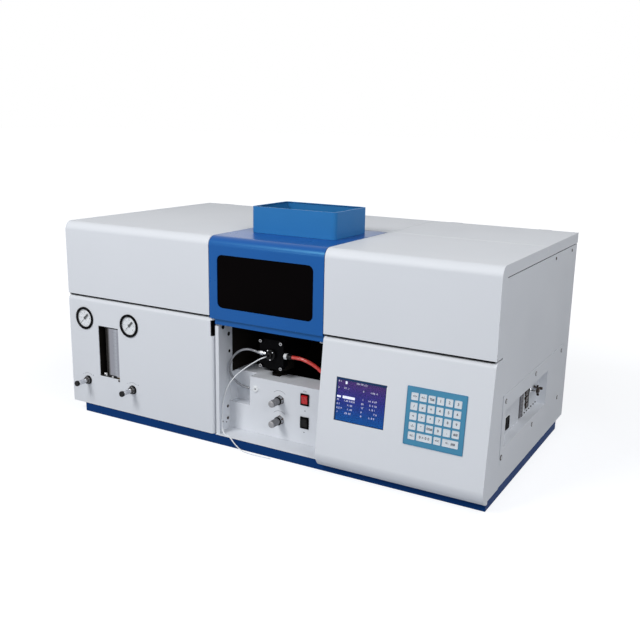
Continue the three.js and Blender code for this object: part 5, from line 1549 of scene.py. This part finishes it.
@dataclass
class ServiceSide:
    """Screws, sockets and plugs of the right side."""

    outer: float = 1020.0
    back: float = 1001.0

    def screw(self, name: str, x: float, y: float, z: float, radius: float, turn: float) -> Piece:
        """A pan-head screw with a cross recess, on a face that looks along +X.

        Args:
            name: Name of the piece.
            x: Place of the face in millimetres.
            y: Depth of its middle in millimetres.
            z: Height of its middle in millimetres.
            radius: Radius in millimetres.
            turn: Turn of the recess in radians.

        Returns:
            The piece.
        """
        head = turned(name, Axis.X, (y, z), [
            (x - 0.4, radius), (x + 0.5, radius), (x + 1.0, radius * 0.82), (x + 1.2, radius * 0.45)], 24)
        long, short = radius * 0.6, radius * 0.14
        cuts = [block("slot", (x + 0.3, x + 2), (y - a, y + a), (z - b, z + b)) for a,
                b in ((long, short), (short, long))]
        for cut in cuts:
            turn_about(cut, at(x, y, z), turn, "X")
        return soften(carve(head, *cuts), 0.08)

    def screws(self) -> None:
        """Fastens the service plate and the right cover."""
        x = self.outer
        places_yz = ((73.1, 185.6), (267.5, 186.9), (468.6, 187.9), (466.5, 78.9), (266.1, 78.9))
        heads = [self.screw(f"screw_{i}", x, y, z, 4.8, i * 0.6) for i, (y, z) in enumerate(places_yz)]
        heads.append(self.screw("screw_front", x, 65.9, 78.4, 5.6, 0.4))
        mount(gather("service_screws", heads), SCREW)
        side = [self.screw(f"panel_screw_{i}", x - 1.5, y, 409.0, 3.4, i * 0.9) for i,
                y in enumerate((357.7, 491))]
        mount(gather("panel_side_screws", side), SCREW)

    def terminal_strip(self, y: Span, z: Span, reach: float) -> Piece:
        """A tall terminal strip with a row of slots.

        Args:
            y: Range along y in millimetres.
            z: Range along z in millimetres.
            reach: How far it stands out.

        Returns:
            The piece.
        """
        x = self.back
        strip = soften(block("strip", (x - 3, x + reach), y, z), 0.8)
        pitch = 7.0
        count = int((z[1] - z[0]) / pitch)
        slots = [block("slot", (x + reach - 4, x + reach + 3), (y[0] + 3, y[1] - 3),
                       (z[0] + 3 + pitch * i, z[0] + 7 + pitch * i)) for i in range(count)]
        return carve(strip, *slots)

    def inlet(self) -> None:
        """Makes the small black inlet with its pale frame."""
        x, y, z = self.back, (139.5, 159.5), (103.5, 128.5)
        frame_piece = slab("inlet_frame", (x - 1.8, x + 1.4), (y[0] - 2, y[1] + 2.4), (z[0] - 2, z[1] + 2),
                           2.0, facing=Axis.X)
        mount(frame_piece, WHITE_PLASTIC)
        socket = block("mains_inlet", (x - 1.5, x + 3.4), y, z)
        well = block("well", (x + 2.4, x + 6), (y[0] + 3, y[1] - 3), (z[0] + 4, z[1] - 4))
        mount(soften(carve(socket, well), 0.5), SATIN_BLACK)

    def plugs(self) -> None:
        """Sets the plugs beside the terminal strips: a bright neck, dark bodies and lugs."""
        x = self.back
        neck = turned("plug_neck", Axis.X, (308.0, 139.0), [
            (x - 1, 6.6), (x + 1.4, 6.6), (x + 1.8, 4.2), (x + 10.4, 4.2), (x + 10.6, 5.0), (x + 12.6, 5.0)],
                      24)
        mount(soften(neck, 0.3), SILVER)
        bodies = [
            turned("plug_body", Axis.X, (309.0, 139.0), [
                (x + 12.4, 5.0), (x + 13.0, 7.4), (x + 14.6, 7.4), (x + 15.2, 5.6), (x + 17.0, 5.6),
                (x + 18.6, 4.0)], 8),
            turned("plug_lug", Axis.X, (306.0, 149.0), [(x + 12.6, 2.4), (x + 16.0, 2.4), (x + 16.6, 1.6)],
                   12),
            turned("plug_lug", Axis.X, (314.0, 128.5), [(x + 12.0, 2.8), (x + 16.0, 2.8), (x + 16.8, 2.0)],
                   12),
            turned("second_plug", Axis.X, (333.0, 136.5), [
                (x - 1, 4.4), (x + 3.0, 4.4), (x + 3.4, 2.2), (x + 12.0, 2.2), (x + 12.6, 3.2),
                (x + 18.4, 2.8)], 16),
        ]
        mount(soften(gather("plug_bodies", bodies), 0.25), BROWN_MOULDING)

    def terminals(self) -> None:
        """Sets the row of small terminal screws along the recess's foot."""
        x = self.back
        studs = [turned("stud", Axis.X, (y, 99.0), [(x - 1, 1.3), (x + 1.6, 1.3), (x + 2.0, 0.8)], 16)
                 for y in range(238, 352, 16)]
        mount(soften(gather("terminal_studs", studs), 0.15), BROWN_MOULDING)

    def strips(self) -> None:
        """Stands the grey terminal strip and the notched brown one side by side."""
        x = self.back
        mount(self.terminal_strip((234, 247), (99, 149), 2.6), GREY_MOULDING)
        edge = soften(block("strip_edge", (x - 2, x + 2.4), (247.4, 251.0), (97, 149)), 0.4)
        teeth = [soften(block("tooth", (x - 2, x + reach), (low, high), (z, z + 5.4)), 0.5)
                 for z, low, high, reach in ((107, 276, 286, 2.2), (114, 270, 284, 3.4), (121, 272, 282, 2.0),
                                             (128, 266, 284, 3.8), (135, 268, 280, 2.4),
                                             (142, 264, 282, 3.6))]
        mount(gather("notched_strip", [edge, *teeth]), BROWN_MOULDING)

    def sockets(self) -> None:
        """Makes the plate that stands for the plain blocks, and all that sits on it."""
        base = block("socket_plate", (995.5, 999.5), (82, 357), (97, 165))
        mount(soften(base, 0.5), BLACK_PLASTIC, replaces=("service_connectors",))
        self.inlet()
        self.strips()
        self.plugs()
        self.terminals()

    def build(self) -> None:
        """Makes screws and sockets."""
        self.screws()
        self.sockets()


# Burner bay


@dataclass
class BayDetails:
    """Grommet, holes, screws and prints of the bay and its control box."""

    front: float = 50.0

    def grommet(self) -> None:
        """Turns the white grommet in the control panel, with a black core that paints the shade in its hole.
        """
        ring = turned("panel_grommet", Axis.Y, (486.5, 118.0), [
            (52.5, 4.9), (50.0, 4.9), (50.0, 7.4), (48.8, 7.4), (48.0, 6.2), (47.8, 2.2), (48.4, 1.7),
            (52.5, 1.7)], 32, hollow=True)
        mount(soften(ring, 0.2), WHITE_PLASTIC)
        # Painted shade: the black core fills the grommet's hole.
        core = turned("grommet_hole_shade", Axis.Y, (486.5, 118.0), [(52.2, 1.65), (49.4, 1.65)], 20)
        mount(soften(core, 0.1), BLACK_PLASTIC)

    def jamb_fixings(self) -> None:
        """Sets black discs that paint the shade of the left jamb's holes, and the jamb's screws."""
        marks = []
        x = 419.0
        holes = ((28.6, 248.7, 5.0), (48.2, 229.7, 4.6), (50.2, 191.4, 3.6), (24.8, 38.8, 1.7),
                 (37.4, 34.1, 1.7))
        # Painted shade: each hole is a shallow black disc on the jamb's face, not an opening.
        for y, z, radius in holes:
            marks.append(turned("hole", Axis.X, (y, z), [
                (x - 0.4, radius), (x + 0.15, radius), (x + 0.15, radius * 0.8), (x + 0.04, radius * 0.7)],
                                24))
        mount(gather("jamb_hole_shade_discs", marks), BLACK_PAINT)
        heads = []
        for y, z in ((42.6, 69.0), (42.3, 41.8)):
            heads.append(turned("head", Axis.X, (y, z), [
                (x - 0.1, 3.4), (x + 0.8, 3.4), (x + 1.6, 2.4), (x + 1.8, 1.0)], 24))
        mount(soften(gather("jamb_screws", heads), 0.1), SCREW)

    def prints(self) -> None:
        """Prints the turning arcs and dots beside the knobs and switches."""
        marks = []
        for z in (105.0, 60.5):
            marks += arc_of_dashes((547, z), self.front, 20, (1.3, 0.35), 50, 13)
        for x, z in ((609.4, 92.5), (607.7, 45.5)):
            marks.append(turned("dot", Axis.Y, (x, z), [(self.front + 0.05, 1.3), (self.front - 0.12, 1.3)],
                                16))
        marks.append(lettering("word", "ON", 608.5, self.front - 0.12, 134.5, 5.0, 0.17))
        mount(gather("control_prints", marks), PRINT)

    def build(self) -> None:
        """Makes the small parts of the bay."""
        self.grommet()
        self.jamb_fixings()
        self.prints()


@dataclass
class AdjustingKnobs:
    """Two knurled knobs in bronze nuts."""

    x: float = 548.0
    heights: tuple[float, float] = (105.0, 60.5)
    ridges: int = 28

    def knob(self, node: str, z: float) -> None:
        """Turns a knob, cuts its ridges and sets it on its shaft.

        Args:
            node: Name of the solid.
            z: Place along z.
        """
        centre = (self.x, z)
        grip = turned(f"{node}_grip", Axis.Y, centre, [
            (41.5, 5.6), (40.2, 6.4), (39.4, 6.9), (33.0, 6.9), (32.4, 7.5), (18.0, 7.5), (16.6, 6.9),
            (15.9, 5.4), (15.7, 3.0)], self.ridges * 2)
        middle = at(self.x, 0, z)
        low, high = at(0, 17.5, 0).y, at(0, 32.6, 0).y

        def in_groove(point: Vector) -> bool:
            """Whether a point lies on every second spoke of the knurled part."""
            spoke = math.atan2(point.z - middle.z, point.x - middle.x)
            return low < point.y < high and round(spoke / (math.pi / self.ridges)) % 2 == 0

        squeeze(grip, in_groove, (0.93, 1, 0.93), at(self.x, 25, z))
        shaft = turned("shaft", Axis.Y, centre, [(69.7, 2.6), (69.3, 3.0), (40, 3.0)], 24)
        knob = gather(f"{node}_turned", [soften(grip, 0.12), shaft])
        mount(knob, KNURLED_STEEL, node, (node,))

    def build(self) -> None:
        """Makes both knobs, their nuts, and black discs on the nuts' fronts that paint the knobs' shade."""
        nuts = []
        for node, z in zip(("height_knob", "fore_aft_knob"), self.heights):
            self.knob(node, z)
            nut = turned("nut", Axis.Y, (self.x, z), [
                (50.0, 10.6), (49.0, 10.6), (48.7, 10.0), (42.6, 10.0), (42.0, 9.2), (42.0, 4.0)], 6)
            nuts.append(soften(nut, 0.3))
        mount(gather("knob_nuts", nuts), BRONZE)
        # Painted shade: black discs on the nuts' front faces stand in for the knobs' shade on the nuts.
        faces = [turned("face", Axis.Y, (self.x, z), [(42.2, 8.9), (41.4, 8.9), (41.2, 8.5), (41.2, 5.0)], 32)
                 for z in self.heights]
        mount(gather("knob_nut_shade_discs", faces), SATIN_BLACK)


@dataclass
class Rockers:
    """Red and black rocker switches in their bezels."""

    x: float = 609.0
    heights: tuple[float, float] = (117.3, 67.0)
    pivot_y: float = 51.5
    tilt: float = 8.0

    def bezel(self, name: str, z: float) -> None:
        """Frames one switch.

        Args:
            name: Name of the piece.
            z: Place along z.
        """
        outer = block(f"{name}_bezel", (self.x - 10, self.x + 10), (47.7, 49.7), (z - 12.5, z + 12.5))
        inner = block("hollow", (self.x - 7.3, self.x + 7.3), (46, 51), (z - 9.85, z + 9.85))
        mount(soften(carve(outer, inner), 0.4), SATIN_BLACK)

    def paddle(self, name: str, z: float, finish: Finish) -> None:
        """Shapes a rocker: a drum segment whose front is dished.

        Args:
            name: Name of the piece.
            z: Place along z.
            finish: Its finish.
        """
        drum = turned(f"{name}_paddle", Axis.X, (self.pivot_y, z), [(self.x - 7, 9.6), (self.x + 7, 9.6)], 72)
        dish = turned("dish", Axis.X, (self.pivot_y - 32.6, z), [(self.x - 12, 28.0), (self.x + 12, 28.0)],
                      96)
        carve(drum, dish)
        turn_about(drum, at(self.x, self.pivot_y, z), math.radians(self.tilt), "X")
        mount(soften(drum, 0.35), finish, name, (name,))

    def build(self) -> None:
        """Makes both switches."""
        for name, z, finish, slot in (("red_rocker", self.heights[0], RED_PLASTIC, "red_plastic"),
                                      ("black_rocker", self.heights[1], BLACK_PLASTIC, "black_plastic")):
            self.bezel(name, z)
            self.paddle(name, z, finish)


@dataclass
class SprayFront:
    """Front of the spray chamber: cap screws, nebulizer and the two fittings."""

    x: float = 516.0
    z: float = 195.0

    def cap_screws(self) -> None:
        """Sets four bright screws in the cap's corners."""
        heads = []
        for dx in (-25, 25):
            for dz in (-27, 27):
                head = turned("head", Axis.Y, (self.x + dx, self.z + dz), [
                    (66.2, 3.7), (61.6, 3.7), (60.9, 3.2), (60.9, 1.9), (62.8, 1.8)], 24)
                heads.append(soften(head, 0.2))
        mount(gather("cap_screws", heads), STEEL, "burner_lift")

    def nebulizer(self) -> None:
        """Turns the nebulizer with its knurled ring and nose."""
        body = turned("nebulizer_body", Axis.Y, (self.x, self.z), [
            (96.0, 5.0), (92.0, 8.6), (66.5, 9.0), (64.8, 9.0), (64.8, 12.0), (59.4, 12.0), (58.6, 11.0),
            (58.6, 8.0), (53.0, 7.4), (52.0, 6.2), (52.0, 3.4), (47.0, 3.0), (46.0, 2.2)], 40)
        mount(soften(body, 0.25), BLACK_PLASTIC, "burner_lift", ("nebulizer",))
        bits = [turned("bit", Axis.Y, (self.x + dx, self.z + dz), [(60.4, 1.5), (57.9, 1.5), (57.5, 1.1)], 12)
                for dx, dz in ((-4.5, 9.4), (1.5, -10.0), (7.5, 6.6))]
        mount(soften(gather("nebulizer_screws", bits), 0.1), SILVER, "burner_lift")
        port = turned("gas_port", Axis.X, (58.0, 198.0), [
            (self.x - 8, 3.4), (self.x - 15, 3.4), (self.x - 15, 5.2), (self.x - 21, 5.2), (self.x - 22, 4.2),
            (self.x - 27, 3.8), (self.x - 30, 3.2)], 6)
        mount(soften(port, 0.25), CHROME, "burner_lift")

    def fuel_fitting(self) -> None:
        """Turns the white union and the dark collar of the fuel hose."""
        union = turned("fuel_union", Axis.X, (71.0, 195.0), [
            (545.5, 6.2), (546.3, 6.8), (552.0, 6.8), (552.8, 6.0), (553.2, 4.8)], 6)
        mount(soften(union, 0.3), WHITE_PLASTIC, "burner_lift")
        collar = turned("fuel_collar", Axis.X, (71.0, 195.0), [
            (552.9, 5.2), (553.6, 5.8), (562.6, 5.8), (563.6, 5.0), (564.0, 4.6)], 32)
        mount(soften(collar, 0.2), BLACK_PLASTIC, "burner_lift")

    def build(self) -> None:
        """Makes the front fittings."""
        self.cap_screws()
        self.nebulizer()
        self.fuel_fitting()


@dataclass
class PlainFinishes:
    """Finishes for the solids whose own shape stays."""

    def build(self) -> None:
        """Rounds the edges of the inner solids and dresses every solid that is left."""
        rounded = {
            "burner_slide": ("burner_slide", BLACK_PAINT, "black_paint", 0.5),
            "burner_lift": ("burner_lift", BLACK_PAINT, "black_paint", 0.5),
            "spray_chamber": ("burner_lift", SATIN_BLACK, "black_plastic", 0.6),
            "end_cap": ("burner_lift", SATIN_BLACK, "black_plastic", 0.8),
            "burner_head": ("burner_head", STEEL, "steel", 0.5),
            "burner_guide": (ROOT_BODY, CASTING, "casting", 0.8),
            "switch_mount": (ROOT_BODY, BLACK_PLASTIC, "black_plastic", 0.25),
            "lamp_carriage": (ROOT_BODY, CASTING, "casting", 0.8),
            "lamp_turret": ("lamp_turret", BLACK_PAINT, "black_paint", 0.4),
            "hollow_cathode_lamp_1": ("lamp_turret", LAMP_GLASS, "lamp_glass", 1.0),
            "hollow_cathode_lamp_2": ("lamp_turret", LAMP_GLASS, "lamp_glass", 1.0),
            "lens_barrel_left": (ROOT_BODY, BLACK_PAINT, "black_paint", 0.5),
            "lens_barrel_right": (ROOT_BODY, BLACK_PAINT, "black_paint", 0.5),
            "monochromator": (ROOT_BODY, CASTING, "casting", 1.5),
            "electronics_tray": (ROOT_BODY, BOARD, "circuit_board", 0.4),
            "gas_manifold": (ROOT_BODY, BRASS, "brass", 0.6),
            "rear_hinge_rod": (ROOT_BODY, STEEL, "steel", 0.3),
            "hood_hinge_rod": (ROOT_BODY, STEEL, "steel", 0.2),
        }
        for node, (body, finish, slot, width) in rounded.items():
            mount(softened_node(node, width), finish, body, (node,))
        for foot in ("foot_front_left", "foot_front_right", "foot_rear_left", "foot_rear_right"):
            mount(softened_node(foot, 1.0), RUBBER, replaces=(foot,))


FALLBACK_FINISHES = {
    "white_paint": WHITE_PAINT, "blue_paint": BLUE_PAINT, "light_blue_paint": CHIMNEY_PAINT,
    "navy_paint": NAVY_PAINT,
    "black_paint": BLACK_PAINT, "tinted_plastic": TINTED_PANE, "foot_rubber": RUBBER, "steel": STEEL,
    "gauge_case": GAUGE_WHITE, "black_pointer": DARK_PRINT, "clear_plastic": CLEAR_BLOCK_PAINTED_SHADE, "bronze": BRONZE,
    "brass": BRASS, "casting": CASTING, "lamp_glass": LAMP_GLASS, "black_plastic": BLACK_PLASTIC,
    "red_plastic": RED_PLASTIC, "red_tube": RED_TUBE, "clear_tube": CLEAR_TUBE, "display": SCREEN,
    "keypad": MEMBRANE, "circuit_board": BOARD,
}


def dress_solids() -> None:
    """Gives every solid of the frame its finish, also where a finer piece covers it."""
    slots = {part["node"]: part["material_slot"] for part in frame["record"]["subparts"]}
    for name, solid in frame["nodes"].items():
        finish = FALLBACK_FINISHES[slots[name]]
        for i in range(len(solid.material_slots)):
            solid.material_slots[i].material = finish.material()


def main() -> None:
    """Builds the scene: camera, cords, sheet metal, then the fittings from left to right."""
    logging.basicConfig(level=logging.INFO, format="%(message)s")
    dress_solids()
    for assembly in (Studio(), Tubing(), SheetMetal(), PressureGauges(), GasValves(), Flowmeter(), Display(),
                     Keypad(),
                     ServiceSide(), BayDetails(), AdjustingKnobs(), Rockers(), SprayFront(), PlainFinishes()):
        assembly.build()


if __name__ == "__main__":
    main()
